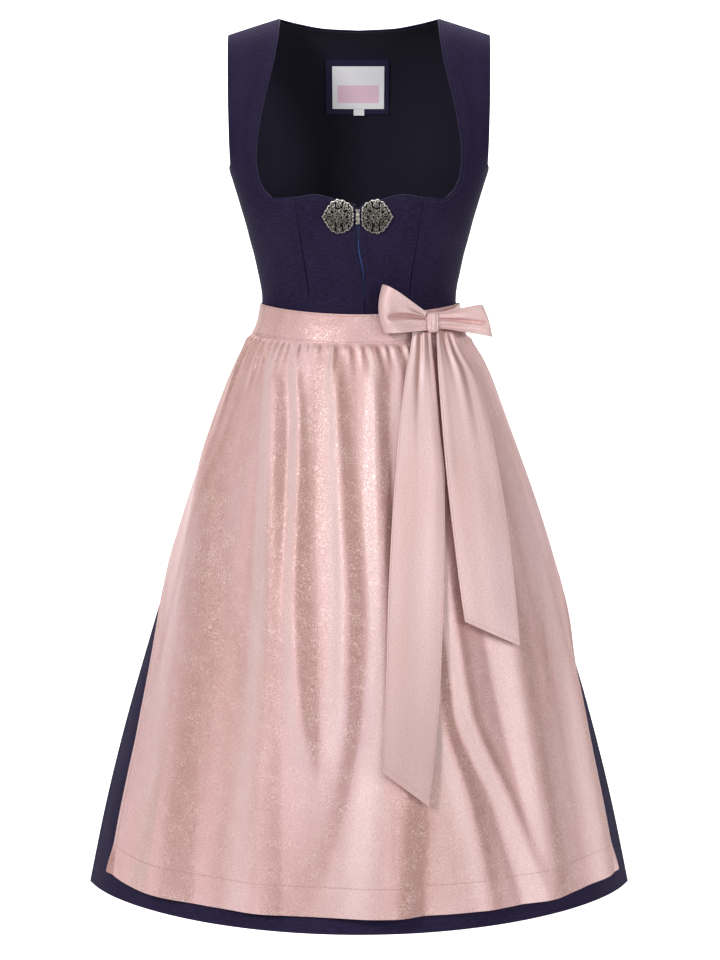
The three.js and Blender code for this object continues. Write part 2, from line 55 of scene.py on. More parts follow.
def curve(xs, ys):  # smooth through the points, with no overshoot
    xs, ys = np.asarray(xs, float), np.asarray(ys, float)
    steps, rises = np.diff(xs), np.diff(ys) / np.diff(xs)
    slopes = np.zeros(len(xs))
    slopes[0], slopes[-1] = rises[0], rises[-1]
    for k in range(1, len(xs) - 1):
        if rises[k - 1] * rises[k] > 0:
            before, after = 2 * steps[k] + steps[k - 1], steps[k] + 2 * steps[k - 1]
            slopes[k] = (before + after) / (before / rises[k - 1] + after / rises[k])

    def value(x):
        inside = np.clip(x, xs[0], xs[-1])
        k = np.clip(np.searchsorted(xs, inside, side="right") - 1, 0, len(xs) - 2)
        t = (inside - xs[k]) / steps[k]
        ends = steps[k] * (slopes[k] * t * (1 - t) ** 2 - slopes[k + 1] * t * t * (1 - t))
        return ys[k] + (ys[k + 1] - ys[k]) * t * t * (3 - 2 * t) + ends
    return value


def table(names, rows):  # the first column is what the others depend on
    columns = list(zip(*rows))
    return {name: curve(columns[0], column) for name, column in zip(names[1:], columns[1:])}


# The worn form, in millimetres, as in the part's source. The root is the square root of the drop.
# Left is at -X, as the viewer of the front sees it.
form = table(("root", "halfWidth", "front", "back", "frontPower", "backPower"), [
    (0, 236, 0, 0, 0.45, 0.5),
    (2.45, 235, 16, 30, 0.45, 0.5),
    (3.46, 234, 24, 44, 0.45, 0.5),
    (5, 231, 36, 58, 0.44, 0.5),
    (7.42, 222, 55, 76, 0.43, 0.5),
    (9.75, 206, 75, 92, 0.42, 0.5),
    (11.83, 180, 96, 102, 0.4, 0.5),
    (13.11, 164.5, 108, 105, 0.38, 0.5),
    (13.96, 156.8, 113, 105, 0.37, 0.5),
    (15, 147.4, 115, 103, 0.36, 0.5),
    (16, 138.6, 113, 98, 0.38, 0.5),
    (17.32, 127.7, 104, 90, 0.43, 0.5),
    (18.57, 120.3, 94, 84, 0.5, 0.5),
    (19.24, 122.8, 94, 86, 0.5, 0.5),
    (19.67, 129, 97, 92, 0.5, 0.5),
    (20.49, 146.5, 108, 112, 0.5, 0.5),
    (21.68, 166.5, 124, 134, 0.5, 0.5),
    (23.35, 192.5, 147, 158, 0.52, 0.52),
    (25.9, 232.5, 182, 190, 0.56, 0.56),
    (27.84, 263.5, 207, 212, 0.6, 0.6),
    (29.58, 292, 228, 230, 0.64, 0.64),
    (31.27, 317.5, 246, 246, 0.68, 0.68),
    (32.89, 339, 256, 258, 0.7, 0.7),
])
body = {"waist": -368, "hem": -1082, "neckHalf": 97, "shoulderSlope": 20 / 64, "shoulderEnd": -19.98,
        "bustX": 78, "bustZ": -232, "bustSpread": 42, "bustRise": 16, "seamGap": 0.12}


def shoulderHeight(x):
    return -np.maximum(0, np.abs(x) - body["neckHalf"]) * body["shoulderSlope"]


def halfWidthAt(z):
    return form["halfWidth"](np.sqrt(np.maximum(0, -np.asarray(z, float))))


def formPoint(turn, z):  # turn 0 is the front, 90 the side at +X, 180 the back
    turn, z = np.broadcast_arrays(np.asarray(turn, float), np.asarray(z, float))
    x = halfWidthAt(z) * np.sin(np.radians(turn))
    shoulder = shoulderHeight(x) * (1 - ease(120, 220, -z))
    root = np.sqrt(np.maximum(0, shoulder - z))
    cosine = np.cos(np.radians(turn))
    bust = body["bustRise"] * bell(np.abs(x) - body["bustX"], body["bustSpread"])
    bust = bust * bell(z - body["bustZ"], body["bustSpread"])
    depth = np.abs(cosine)
    front = -form["front"](root) * depth ** (2 * form["frontPower"](root)) - bust
    back = form["back"](root) * depth ** (2 * form["backPower"](root))
    return np.stack([x, np.where(cosine < 0, back, front), z], axis=-1)


def formNormal(turn, z):
    along = formPoint(turn + 0.4, z) - formPoint(turn - 0.4, z)
    down = formPoint(turn, z - 1.5) - formPoint(turn, z)
    normal = np.cross(down, along)
    return normal / np.linalg.norm(normal, axis=-1, keepdims=True)


def turnAt(x, z):
    return np.degrees(np.arcsin(np.clip(x / halfWidthAt(z), -1, 1)))


def sideTurn(z, depth, power):  # half a seam gap away from the middle of the side
    root = np.sqrt(np.maximum(0, -np.asarray(z, float)))
    return np.degrees(np.arccos((body["seamGap"] / 2 / depth(root)) ** (0.5 / power(root))))


def frontSide(z):
    return sideTurn(z, form["front"], form["frontPower"])


def backSide(z):
    return 180 - sideTurn(z, form["back"], form["backPower"])


def onForm(turn, z, lift):
    return formPoint(turn, z) + formNormal(turn, z) * np.asarray(lift, float)[..., None]


def underPoint(x, z, lift):  # the turn and height whose lifted point lies at x and z
    formX, formZ = np.array(x, float), np.array(z, float)
    for _ in range(8):
        point = onForm(turnAt(formX, formZ), formZ, lift)
        formX, formZ = formX + x - point[..., 0], formZ + z - point[..., 2]
    return turnAt(formX, formZ), formZ


def waistHeight(turn):
    return body["waist"] - 8 * np.maximum(0, np.cos(np.radians(turn))) ** 2


def smoothNoise(seed, count, low, high):  # a fixed wavy line through random values
    values = np.random.default_rng(seed).uniform(-1, 1, count)
    return curve(np.linspace(low, high, count), values)


# Materials
def linear(code):  # sRGB hex to the linear colour Blender works in
    parts = [int(code[k:k + 2], 16) / 255 for k in (1, 3, 5)]
    return tuple(c / 12.92 if c <= 0.04045 else ((c + 0.055) / 1.055) ** 2.4 for c in parts) + (1,)


def addNode(tree, kind, inputs=None, **settings):  # a socket as a value makes a link
    node = tree.nodes.new(kind)
    for key, value in settings.items():
        setattr(node, key, value)
    for key, value in (inputs or {}).items():
        if isinstance(value, bpy.types.NodeSocket):
            tree.links.new(value, node.inputs[key])
        else:
            node.inputs[key].default_value = value
    return node


def newMaterial(name, surface):
    material = bpy.data.materials.new(name)
    material.use_nodes = True
    tree = material.node_tree
    tree.nodes.clear()
    shader = addNode(tree, "ShaderNodeBsdfPrincipled", surface)
    out = tree.nodes.new("ShaderNodeOutputMaterial")
    tree.links.new(shader.outputs[0], out.inputs[0])
    return material, tree, shader


# Lays one colour over another, each a hex code or a socket, as a pattern goes from low to high
def tint(tree, under, over, pattern, low=0, high=1, most=1):
    share = addNode(tree, "ShaderNodeMapRange", {
        "Value": pattern, "From Min": low, "From Max": high, "To Max": most}).outputs[0]
    under, over = (linear(colour) if isinstance(colour, str) else colour for colour in (under, over))
    return addNode(tree, "ShaderNodeMix", {0: share, 6: under, 7: over}, data_type="RGBA").outputs[2]


def clothNoise(tree, uv, along, across, detail):  # so many waves to a metre of cloth
    where = addNode(tree, "ShaderNodeMapping", {"Vector": uv, "Scale": (along, across, 1)}).outputs[0]
    return addNode(tree, "ShaderNodeTexNoise", {"Vector": where, "Scale": 1.0, "Detail": detail}).outputs[0]


def dressShader(tree, shader, colour, height, depth, strength):
    bump = addNode(tree, "ShaderNodeBump", {"Height": height, "Distance": depth, "Strength": strength})
    tree.links.new(colour, shader.inputs["Base Color"])
    tree.links.new(bump.outputs[0], shader.inputs["Normal"])


taffetaLook = {
    "rose": "#D6AAA8", "brown": "#B48F86", "cool": "#DDBBC2", "scroll": "#EBD3CC", "weftAndPaintedShade": "#9F756C",
    "paintedHighlight": "#EDD6D5", "sheen": "#F0D9D2", "roughness": 0.52, "satin": 0.16, "weaveMm": 1.1, "scrollMm": 5.2}
plainTaffetaLook = {**taffetaLook, "rose": "#EAC9C8", "brown": "#D8B3AE", "cool": "#EFD6D9", "satin": 0.12}


# Shot taffeta, woven from rose and brownish threads: soft upright bands of tone, a satiny gloss on the folds,
# painted shade and a painted highlight on their flanks and, on the apron and its band, a small damask scroll
# seen as a sparkle
def makeTaffeta(name, look, scrolls):
    material, tree, shader = newMaterial(name, {
        "Roughness": look["roughness"], "Metallic": look["satin"], "IOR": 1.5, "Sheen Weight": 0.08,
        "Sheen Roughness": 0.4, "Sheen Tint": linear(look["sheen"]), "Specular IOR Level": 0.6})
    uv = addNode(tree, "ShaderNodeUVMap", uv_map="cloth").outputs[0]
    colour = tint(tree, look["rose"], look["brown"], clothNoise(tree, uv, 26, 2.2, 4.0), 0.38, 0.64, 0.6)
    colour = tint(tree, colour, look["cool"], clothNoise(tree, uv, 6, 3, 2.0), 0.42, 0.68, 0.6)
    # painted shade and highlight: flanks of folds that turn to the right get a darker brown as painted shade,
    # flanks that turn to the left a paler pink as painted highlight, as if lit from the left
    slope = addNode(tree, "ShaderNodeAttribute", attribute_name="slope").outputs["Fac"]
    colour = tint(tree, colour, look["weftAndPaintedShade"], slope, 0.02, 0.3, 0.7)
    colour = tint(tree, colour, look["paintedHighlight"], slope, -0.04, -0.32, 0.5)
    # threads: real pitch is about 0.2 mm, drawn at 1.1 mm so that a trace of it shows
    threads = 1e3 / look["weaveMm"]
    height = slubs = clothNoise(tree, uv, 0.35 * threads, threads, 1.0)
    colour = tint(tree, colour, look["weftAndPaintedShade"], slubs, 0.4, 0.7, 0.3)
    if scrolls:
        size = 1e3 / look["scrollMm"]
        # a noise of up to 3 mm bends the cloth's own coordinates, so that the scrolls aren't round cells
        bend = addNode(tree, "ShaderNodeTexNoise", {
            "Vector": uv, "Scale": size * 0.9, "Detail": 1.0}).outputs[1]
        steps = (("SUBTRACT", (0.5, 0.5, 0.5)), ("MULTIPLY", (0.006, 0.006, 0)), ("ADD", uv))
        for operation, amount in steps:
            bend = addNode(tree, "ShaderNodeVectorMath", {0: bend, 1: amount}, operation=operation).outputs[0]
        cells = addNode(tree, "ShaderNodeTexVoronoi", {"Vector": bend, "Scale": size}).outputs["Distance"]
        rings = addNode(tree, "ShaderNodeMath", {0: cells, 1: 17.0}, operation="MULTIPLY").outputs[0]
        rings = addNode(tree, "ShaderNodeMath", {0: rings}, operation="SINE").outputs[0]
        scroll = addNode(tree, "ShaderNodeMapRange", {
            "Value": rings, "From Min": 0.1, "From Max": 0.5}).outputs[0]
        patches = addNode(tree, "ShaderNodeTexNoise", {"Vector": uv, "Scale": 45.0, "Detail": 1.0}).outputs[0]
        patches = addNode(tree, "ShaderNodeMapRange", {
            "Value": patches, "From Min": 0.35, "From Max": 0.65, "To Min": 0.12, "To Max": 0.36}).outputs[0]
        share = addNode(tree, "ShaderNodeMath", {0: scroll, 1: patches}, operation="MULTIPLY").outputs[0]
        colour = tint(tree, colour, look["scroll"], share)
        gloss = addNode(tree, "ShaderNodeMapRange", {
            "Value": scroll, "To Min": look["roughness"] + 0.05,
            "To Max": look["roughness"] - 0.08}).outputs[0]
        tree.links.new(gloss, shader.inputs["Roughness"])
        height = addNode(tree, "ShaderNodeMath", {0: scroll, 1: slubs}, operation="ADD").outputs[0]
    dressShader(tree, shader, colour, height, 0.00022, 0.35)
    return material


navyLook = {"base": "#251E36", "deep": "#1F1930", "light": "#33294A", "sheen": "#6A5F86", "ribMm": 2.4,
            "roughness": 0.7}


# Navy jacquard with a fine crosswise rib: dark, with a faint violet sheen where it turns to the light
def makeNavy(look):
    material, tree, shader = newMaterial("navy jacquard rib", {
        "Roughness": look["roughness"], "IOR": 1.48, "Sheen Weight": 0.02, "Sheen Roughness": 0.5,
        "Sheen Tint": linear(look["sheen"]), "Specular IOR Level": 0.06})
    uv = addNode(tree, "ShaderNodeUVMap", uv_map="cloth").outputs[0]
    # the real rib is about 1.2 mm, drawn at twice that so that it still shows from this far
    ribs = 1e3 / look["ribMm"]
    rib = clothNoise(tree, uv, 0.3 * ribs, ribs, 1.0)
    colour = tint(tree, look["deep"], look["base"], clothNoise(tree, uv, 14, 10, 3.0), 0.35, 0.65)
    colour = tint(tree, colour, look["light"], rib, 0.45, 0.7, 0.4)
    dressShader(tree, shader, colour, rib, 0.00025, 0.5)
    return material


# Plain cloth, thread and tape, and the clasp's dark ground: one hue, uneven as yarn or tarnish is
def makePlain(name, first, second, grainMm, roughness, sheen=0.02, onCloth=True):
    material, tree, shader = newMaterial(name, {
        "Roughness": roughness, "IOR": 1.48, "Specular IOR Level": 0.2, "Sheen Weight": sheen,
        "Sheen Roughness": 0.5})
    if onCloth:
        where = addNode(tree, "ShaderNodeUVMap", uv_map="cloth").outputs[0]
    else:
        where = tree.nodes.new("ShaderNodeTexCoord").outputs["Object"]
    grain = addNode(tree, "ShaderNodeTexNoise", {
        "Vector": where, "Scale": 1e3 / grainMm, "Detail": 2.0}).outputs[0]
    dressShader(tree, shader, tint(tree, first, second, grain, 0.35, 0.65), grain, 0.0002, 0.4)
    return material


# Pink field of the label, from and to, across and along the cloth in metres, and how soft its edge is
labelLook = {"field": ((0.0065, 0.0595), (0.0255, 0.0485)), "soft": 0.0002}


# Woven satin label: white, with a plain pale pink field over its lower half
def makeLabelSatin(look):
    material, tree, shader = newMaterial("woven satin label", {
        "Roughness": 0.45, "IOR": 1.5, "Sheen Weight": 0.2})
    uv = addNode(tree, "ShaderNodeUVMap", uv_map="cloth").outputs[0]
    places = addNode(tree, "ShaderNodeSeparateXYZ", {0: uv}).outputs
    edges = []
    for place, (start, stop) in zip(places, look["field"]):
        for at, soft in ((start, look["soft"]), (stop, -look["soft"])):
            edges.append(addNode(tree, "ShaderNodeMapRange", {
                "Value": place, "From Min": at - soft, "From Max": at + soft}).outputs[0])
    field = edges[0]
    for edge in edges[1:]:
        field = addNode(tree, "ShaderNodeMath", {0: field, 1: edge}, operation="MINIMUM").outputs[0]
    weave = addNode(tree, "ShaderNodeTexNoise", {"Vector": uv, "Scale": 1500.0, "Detail": 1.0}).outputs[0]
    white, pink = tint(tree, "#F6F4F6", "#E6E4E8", weave), tint(tree, "#F0CFDD", "#E3BDCE", weave)
    tree.links.new(tint(tree, white, pink, field), shader.inputs["Base Color"])
    return material


# Antique silver: cast zinc, silver plated and darkened, then polished on its high spots
def makeSilver():
    material, tree, shader = newMaterial("antique silver", {"Metallic": 1.0, "Roughness": 0.32})
    place = tree.nodes.new("ShaderNodeTexCoord").outputs["Object"]
    wear = addNode(tree, "ShaderNodeTexNoise", {"Vector": place, "Scale": 420.0, "Detail": 3.0}).outputs[0]
    gloss = addNode(tree, "ShaderNodeMapRange", {
        "Value": wear, "From Min": 0.3, "From Max": 0.7, "To Min": 0.48, "To Max": 0.24}).outputs[0]
    tree.links.new(tint(tree, "#8E8A84", "#F4F0E8", wear, 0.35, 0.65), shader.inputs["Base Color"])
    tree.links.new(gloss, shader.inputs["Roughness"])
    return material


damaskTaffeta = makeTaffeta("shot taffeta with damask scroll", taffetaLook, True)
plainTaffeta = makeTaffeta("shot taffeta", plainTaffetaLook, False)
navyRib = makeNavy(navyLook)
liningCloth = makePlain("lining twill", "#14121F", "#1C1928", 1.2, 0.9)
patchCloth = makePlain("navy label patch", "#1B1A33", "#25233F", 1.2, 0.6)
labelSatin = makeLabelSatin(labelLook)
silver = makeSilver()
patina = makePlain("darkened silver ground", "#0C0B0B", "#191716", 1.5, 0.8, 0.0, False)
tapeCloth = makePlain("zip tape", "#20233F", "#2A2E4E", 0.8, 0.6)
tapeSatin = makePlain("satin tape edge", "#303A68", "#404D86", 0.8, 0.5)
navyThread = makePlain("navy sewing thread", "#29243F", "#1C1830", 0.5, 0.6, 0.1, False)
roseThread = makePlain("rose sewing thread", "#C9A09B", "#B58983", 0.5, 0.5, 0.3, False)
pipingCloth = makePlain("navy piping", "#2C2745", "#211C36", 0.8, 0.7, 0.1, False)
print("materials made")


# Meshes
def addObject(name, data):
    added = bpy.data.objects.new(name, data)
    bpy.context.scene.collection.objects.link(added)
    return added


def addPiece(name, mesh, nodes=()):
    piece = addObject(name, mesh)
    if nodes:
        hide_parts(*nodes)
    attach(piece, "root")
    return piece


def makeObject(name, points, faces, material, nodes=(), uvs=None, slopes=None):
    mesh = bpy.data.meshes.new(name)
    mesh.from_pydata((np.asarray(points, float) * 0.001).tolist(), [], faces)
    if uvs is not None:
        layer = mesh.uv_layers.new(name="cloth")
        corners = np.zeros(len(mesh.loops), dtype=int)
        mesh.loops.foreach_get("vertex_index", corners)
        layer.data.foreach_set("uv", np.asarray(uvs, float)[corners].ravel())
    # the fold slope, from which the taffeta paints shade and highlight on the flanks of folds
    if slopes is not None:
        mesh.attributes.new("slope", "FLOAT", "POINT").data.foreach_set("value", slopes)
    mesh.materials.append(material)
    mesh.shade_smooth()
    mesh.set_sharp_from_angle(angle=math.radians(50))
    mesh.update()
    return addPiece(name, mesh, nodes)


def signedVolume(points, faces):  # below zero where the faces point inwards
    corners = np.array([[points[k] for k in face[:3]] for face in faces])
    return (corners[:, 0] * np.cross(corners[:, 1], corners[:, 2])).sum()


# How far a fold turns the cloth sideways from the form under it: minus to its left, plus to its right. The
# taffeta paints shade on flanks that turn right and a highlight on flanks that turn left from it
def foldSlope(outer, normals):
    along, down = np.gradient(outer, axis=1), np.gradient(outer, axis=0)
    folded = np.cross(along, down)
    folded /= np.maximum(1e-9, np.linalg.norm(folded, axis=-1, keepdims=True))
    folded = np.where((folded * normals).sum(axis=-1, keepdims=True) < 0, -folded, folded)
    sideways = np.stack([-normals[..., 1], normals[..., 0], np.zeros(normals.shape[:2])], axis=-1)
    return ((folded - normals) * sideways).sum(axis=-1)


# A wall from a grid of outer points and their base normals; clothSize is the flat width and height
def makeWall(name, outer, normals, wall, material, slot, nodes=(), clothSize=None, start=(0, 0)):
    rows, columns = outer.shape[:2]
    inner = outer - normals * wall
    count = rows * columns
    ids = np.arange(count).reshape(rows, columns)
    a, b, c, d = ids[:-1, :-1], ids[:-1, 1:], ids[1:, 1:], ids[1:, :-1]
    front = np.stack([a, b, c, d], axis=-1).reshape(-1, 4)
    across = outer[rows // 2, columns // 2] - outer[rows // 2, columns // 2 - 1]
    down = outer[rows // 2, columns // 2] - outer[rows // 2 - 1, columns // 2]
    outward = np.dot(np.cross(across, down), normals[rows // 2, columns // 2]) > 0
    if not outward:
        front = front[:, ::-1]
    back = front[:, ::-1] + count
    ring = np.concatenate([ids[0, :-1], ids[:-1, -1], ids[-1, :0:-1], ids[:0:-1, 0]])
    after = np.roll(ring, -1)
    rim = np.stack([after, ring, ring + count, after + count], axis=-1)
    if not outward:
        rim = rim[:, ::-1]
    faces = np.concatenate([front, back, rim]).tolist()
    width = np.linalg.norm(np.diff(outer, axis=1), axis=-1).sum(axis=1)
    length = np.linalg.norm(np.diff(outer, axis=0), axis=-1)
    u = np.linspace(0, 1, columns)[None, :] * (clothSize[0] if clothSize else width.max())
    v = np.concatenate([np.zeros((1, columns)), np.cumsum(length, axis=0)]).mean(axis=1)[:, None]
    flat = np.stack(np.broadcast_arrays(u + start[0], v + start[1]), axis=-1).reshape(-1, 2) * 0.001
    points = np.concatenate([outer.reshape(-1, 3), inner.reshape(-1, 3)])
    # sideways slope of each point, for the painted shade and highlight of the taffeta
    slopes = np.tile(foldSlope(outer, normals).ravel(), 2)
    return makeObject(name, points, faces, material, nodes, np.concatenate([flat, flat]), slopes)


def wallOnForm(name, turn, z, lift, wall, *rest, **more):
    return makeWall(name, onForm(turn, z, lift), formNormal(turn, z), wall, *rest, **more)


def grid(rows, columns):
    return np.meshgrid(np.linspace(0, 1, rows), np.linspace(0, 1, columns), indexing="ij")


def ownRows(shares, rows, smooth=False):  # finer rows between the rows of a table
    place = np.linspace(0, 1, len(rows))
    if smooth:
        return [curve(place, column)(shares) for column in zip(*rows)]
    return [np.interp(shares, place, column) for column in zip(*rows)]


# Tubes along paths of points, closed at both ends
def makeTube(name, paths, radius, material, nodes=(), sides=8):
    points, faces = [], []
    angles = np.linspace(0, 2 * np.pi, sides, endpoint=False)[None, :, None]
    for path in paths:
        step = np.gradient(path, axis=0)
        step /= np.linalg.norm(step, axis=1, keepdims=True)
        side = np.cross(step, (0.13, 0.97, 0.2))
        side /= np.linalg.norm(side, axis=1, keepdims=True)
        up = np.cross(step, side)
        rings = path[:, None] + radius * (np.cos(angles) * side[:, None] + np.sin(angles) * up[:, None])
        first, last = len(points), len(points) + (len(path) - 1) * sides
        points.extend(rings.reshape(-1, 3))
        for a in range(first, last, sides):
            for k in range(sides):
                m = (k + 1) % sides
                faces.append((a + k, a + sides + k, a + sides + m, a + m))
        faces.append(tuple(range(first, first + sides)))
        faces.append(tuple(range(last, last + sides))[::-1])
    return makeObject(name, points, faces, material, nodes)


# Geometry Nodes: small shapes set along paths, such as stitches and beads
def rowTree():
    tree = bpy.data.node_groups.new("shapes along a path", "GeometryNodeTree")
    for label, kind in (("Path", "Geometry"), ("Pitch", "Float"), ("Length", "Float"), ("Thickness", "Float"),
                        ("Round", "Bool"), ("Material", "Material")):
        tree.interface.new_socket(label, in_out="INPUT", socket_type="NodeSocket" + kind)
    tree.interface.new_socket("Shapes", in_out="OUTPUT", socket_type="NodeSocketGeometry")
    given = tree.nodes.new("NodeGroupInput").outputs
    spots = addNode(tree, "GeometryNodeCurveToPoints", {
        "Curve": given["Path"], "Length": given["Pitch"]}, mode="LENGTH").outputs
    radius = addNode(tree, "ShaderNodeMath", {0: given["Thickness"], 1: 0.5}, operation="MULTIPLY").outputs[0]
    stitch = addNode(tree, "GeometryNodeMeshCylinder", {
        "Vertices": 6, "Radius": radius, "Depth": given["Length"]}).outputs[0]
    bead = addNode(tree, "GeometryNodeMeshIcoSphere", {"Radius": radius, "Subdivisions": 2}).outputs[0]
    shape = addNode(tree, "GeometryNodeSwitch", {
        "Switch": given["Round"], "False": stitch, "True": bead}, input_type="GEOMETRY").outputs[0]
    placed = addNode(tree, "GeometryNodeInstanceOnPoints", {
        "Points": spots["Points"], "Instance": shape, "Rotation": spots["Rotation"]}).outputs[0]
    real = addNode(tree, "GeometryNodeRealizeInstances", {0: placed}).outputs[0]
    shaded = addNode(tree, "GeometryNodeSetMaterial", {
        "Geometry": real, "Material": given["Material"]}).outputs[0]
    addNode(tree, "NodeGroupOutput", {0: shaded})
    return tree


rowNodes = rowTree()


def makeRow(name, paths, look, material):
    data = bpy.data.curves.new(name, "CURVE")
    data.dimensions = "3D"
    for path in paths:
        spline = data.splines.new("POLY")
        spline.points.add(len(path) - 1)
        for point, place in zip(spline.points, path * 0.001):
            point.co = (*place, 1)
    source = addObject(name + "Path", data)
    modifier = source.modifiers.new("row", "NODES")
    modifier.node_group = rowNodes
    given = {"Pitch": look["pitch"] * 0.001, "Length": look["length"] * 0.001,
             "Thickness": look["thickness"] * 0.001, "Round": look.get("round", False), "Material": material}
    for item in rowNodes.interface.items_tree:
        if item.in_out == "INPUT" and item.name in given:
            modifier[item.identifier] = given[item.name]
    graph = bpy.context.evaluated_depsgraph_get()
    mesh = bpy.data.meshes.new_from_object(source.evaluated_get(graph), depsgraph=graph)
    bpy.data.objects.remove(source)
    mesh.shade_smooth()
    return addPiece(name, mesh)


# Bodice
neckFront = curve([0, 24, 54, 86, 104], [-226.5, -220, -213, -217.6, -217.7])
neckBack = curve([0, 40, 75, 97], [-12.4, -10.6, -5, 0])
princessX = curve([-376, -330, -280, -213], [60, 61, 68, 78])
slitMiddle = curve([-376, -344, -309, -275, -226], [7, 6.6, 5, -0.6, -2])
slitWidth = curve([-376, -344, -309, -275, -226], [1, 1.3, 3.6, 6, 5])
sideFrontRows = [  # x and z of the inner edge, x and z of the outer edge
    (60, -374, 200, -368), (60.2, -360, 200, -356), (60.6, -345, 200, -345), (63, -318, 200, -322),
    (68, -286, 200, -295), (73, -252, 200, -264), (78, -215, 200, -230), (91, -217.7, 200, -213),
    (104, -217.7, 200, -196), (115, -208, 157.4, -182), (121.5, -194, 158, -166),
    (124.6, -174, 158.6, -148), (124, -150, 159, -128), (119.5, -120, 159.6, -103),
    (112.5, -88, 160, -76), (104, -54, 160.4, -50), (99, -24, 160.6, -34), (97, -0.04, 160.8, -19.98)]
sideBackRows = [
    (50, -368, 200, -368), (50.5, -356, 200, -356), (51.5, -345, 200, -345), (54, -320, 200, -322),
    (60, -290, 200, -295), (68, -262, 200, -268), (80, -232, 200, -240), (98, -200, 200, -214),
    (117, -176, 200, -196), (134, -157, 157.4, -182), (147, -142, 158, -163), (153, -134, 158.6, -146)]
bodiceLook = {"wall": 1.8, "drag": 0.7, "sunk": 0.1}


def navyWall(name, node, turn, z, lift, wall=bodiceLook["wall"]):
    return wallOnForm(name, turn, z, lift, wall, navyRib, "navy", [node])


def bodiceLift(turn, z):  # faint drag lines under the bust and above the waist
    wave = np.sin(z / 7.5 + 1.3 * np.sin(np.radians(turn * 4))) * bell(z + 300, 60)
    cross = np.sin(z / 13 + turn / 9)
    return bodiceLook["drag"] * (0.35 * wave + 0.25 * cross * bell(z + 330, 40)) - bodiceLook["sunk"]


def bodiceFront(name, node, side):
    v, u = grid(70, 40)
    foot = waistHeight(turnAt(u * 60, body["waist"]))
    z = lerp(foot, neckFront(u * 78), v)
    slit = slitMiddle(z) + side * slitWidth(z) / 2
    x = lerp(slit, side * (princessX(z) - body["seamGap"] / 2), u)
    turn = turnAt(x, z)
    return navyWall(name, node, turn, z, bodiceLift(turn, z))


def sideFront(name, node, side):
    shares = np.linspace(0, 1, 120)
    innerX, innerZ, outerX, outerZ = (column[:, None] for column in ownRows(shares, sideFrontRows))
    row = shares[:, None] * (len(sideFrontRows) - 1)
    u = np.linspace(0, 1, 44)[None, :]
    inner = turnAt(innerX + np.where(innerZ < -214, body["seamGap"] / 2, 0), innerZ)
    outer = np.minimum(turnAt(outerX, outerZ), frontSide(outerZ))
    z = lerp(innerZ, outerZ, u)
    strap = turnAt(lerp(innerX, np.minimum(outerX, 162), u), z)
    turn = lerp(lerp(inner, outer, u), strap, ease(9, 10, row))  # the strap starts at row 9
    z = lerp(waistHeight(turn), z, np.minimum(1, row))
    turn = turn * side
    return navyWall(name, node, turn, z, bodiceLift(turn, z))


def sideBack(name, node, side):
    rows = ownRows(np.linspace(0, 1, 70), sideBackRows)
    innerX, innerZ, outerX, outerZ = (column[:, None] for column in rows)
    u = np.linspace(0, 1, 30)[None, :]
    inner = 180 - turnAt(innerX + body["seamGap"] / 2, innerZ)
    outer = np.maximum(180 - turnAt(outerX, outerZ), backSide(outerZ))
    return navyWall(name, node, lerp(inner, outer, u) * side, lerp(innerZ, outerZ, u), 0.0)


armholeX = curve([-196, -160, -100, -50, -19.98], [156.8, 158.2, 159.6, 160.4, 160.8])
backSeamX = curve([row[1] for row in sideBackRows], [row[0] for row in sideBackRows])


def backNeck(x):
    inside = np.abs(x) < body["neckHalf"]
    return np.where(inside, neckBack(np.abs(x)), shoulderHeight(x)) - 0.04


def backEdge(z):
    seam = 180 - turnAt(backSeamX(z) - body["seamGap"] / 2, z)
    return np.where(z > -133, 180 - turnAt(armholeX(z), z), seam)


def liningEdge(z):
    return np.where(z > -196, 180 - turnAt(armholeX(z), z), backSide(z) + 1.5)


def backGrid(name, node, edge, lift, wall, material, slot):
    top = body["shoulderEnd"]
    heights = np.concatenate([np.linspace(-368, -133, 50), np.linspace(-132.9, top, 40)])[:, None]
    neckShare = 180 - edge(np.array(top))
    corner = turnAt(body["neckHalf"], top) / neckShare
    half = np.concatenate([np.linspace(0, corner, 16), np.linspace(corner, 1, 12)[1:]])
    u = np.concatenate([-half[:0:-1], half])[None, :]
    topX = halfWidthAt(top) * np.sin(np.radians(u * neckShare))
    z = heights + (backNeck(topX) - top) * ease(-200, top, heights)
    turn = 180 - u * (180 - edge(heights))
    return wallOnForm(name, turn, z, lift, wall, material, slot, [node])


def insidePatch(name, node, box, lift, wall, material, slot):
    v, u = grid(16, 20)
    z = lerp(box[3], box[2], v)
    turn = 180 - turnAt(lerp(box[0], box[1], u), z)
    return wallOnForm(name, turn, z, lift, wall, material, slot, [node],
                      clothSize=(box[1] - box[0], box[3] - box[2]))


pairs = ((bodiceFront, "bodiceFront", "bodice_front"), (sideFront, "sideFront", "side_front"),
         (sideBack, "sideBack", "side_back"))
for makePair, name, node in pairs:
    makePair(name + "Left", node + "_left", -1)
    makePair(name + "Right", node + "_right", 1)
backGrid("bodiceBack", "bodice_back", backEdge, 0.0, bodiceLook["wall"], navyRib, "navy")
backGrid("backLining", "back_lining", liningEdge, -3.3, 1.0, liningCloth, "lining")
insidePatch("labelPatch", "label_patch", (-42.5, 38, -114, -45), -5.7, 1.0, patchCloth, "lining")
insidePatch("wovenLabel", "label", (-34, 32, -107, -53), -7.4, 0.9, labelSatin, "white")
insidePatch("sizeTab", "size_tab", (-7, 6.6, -115.4, -107.4), -7.4, 0.9, labelSatin, "white")
print("bodice made")

# Zip tape behind the slit, with its satin edge: from, to, half its width, lift and wall
zipLook = {"zipTape": (-366, -229, 11, -3.0, 1.0, tapeCloth, ["zip"]),
           "zipSatin": (-340, -268, 0.7, -2.0, 0.7, tapeSatin, [])}
v, u = grid(60, 10)
for name, (start, stop, half, lift, wall, cloth, nodes) in zipLook.items():
    z = lerp(start, stop, v)
    wallOnForm(name, turnAt(slitMiddle(z) + lerp(-half, half, u), z), z, lift, wall, cloth, "tape", nodes)


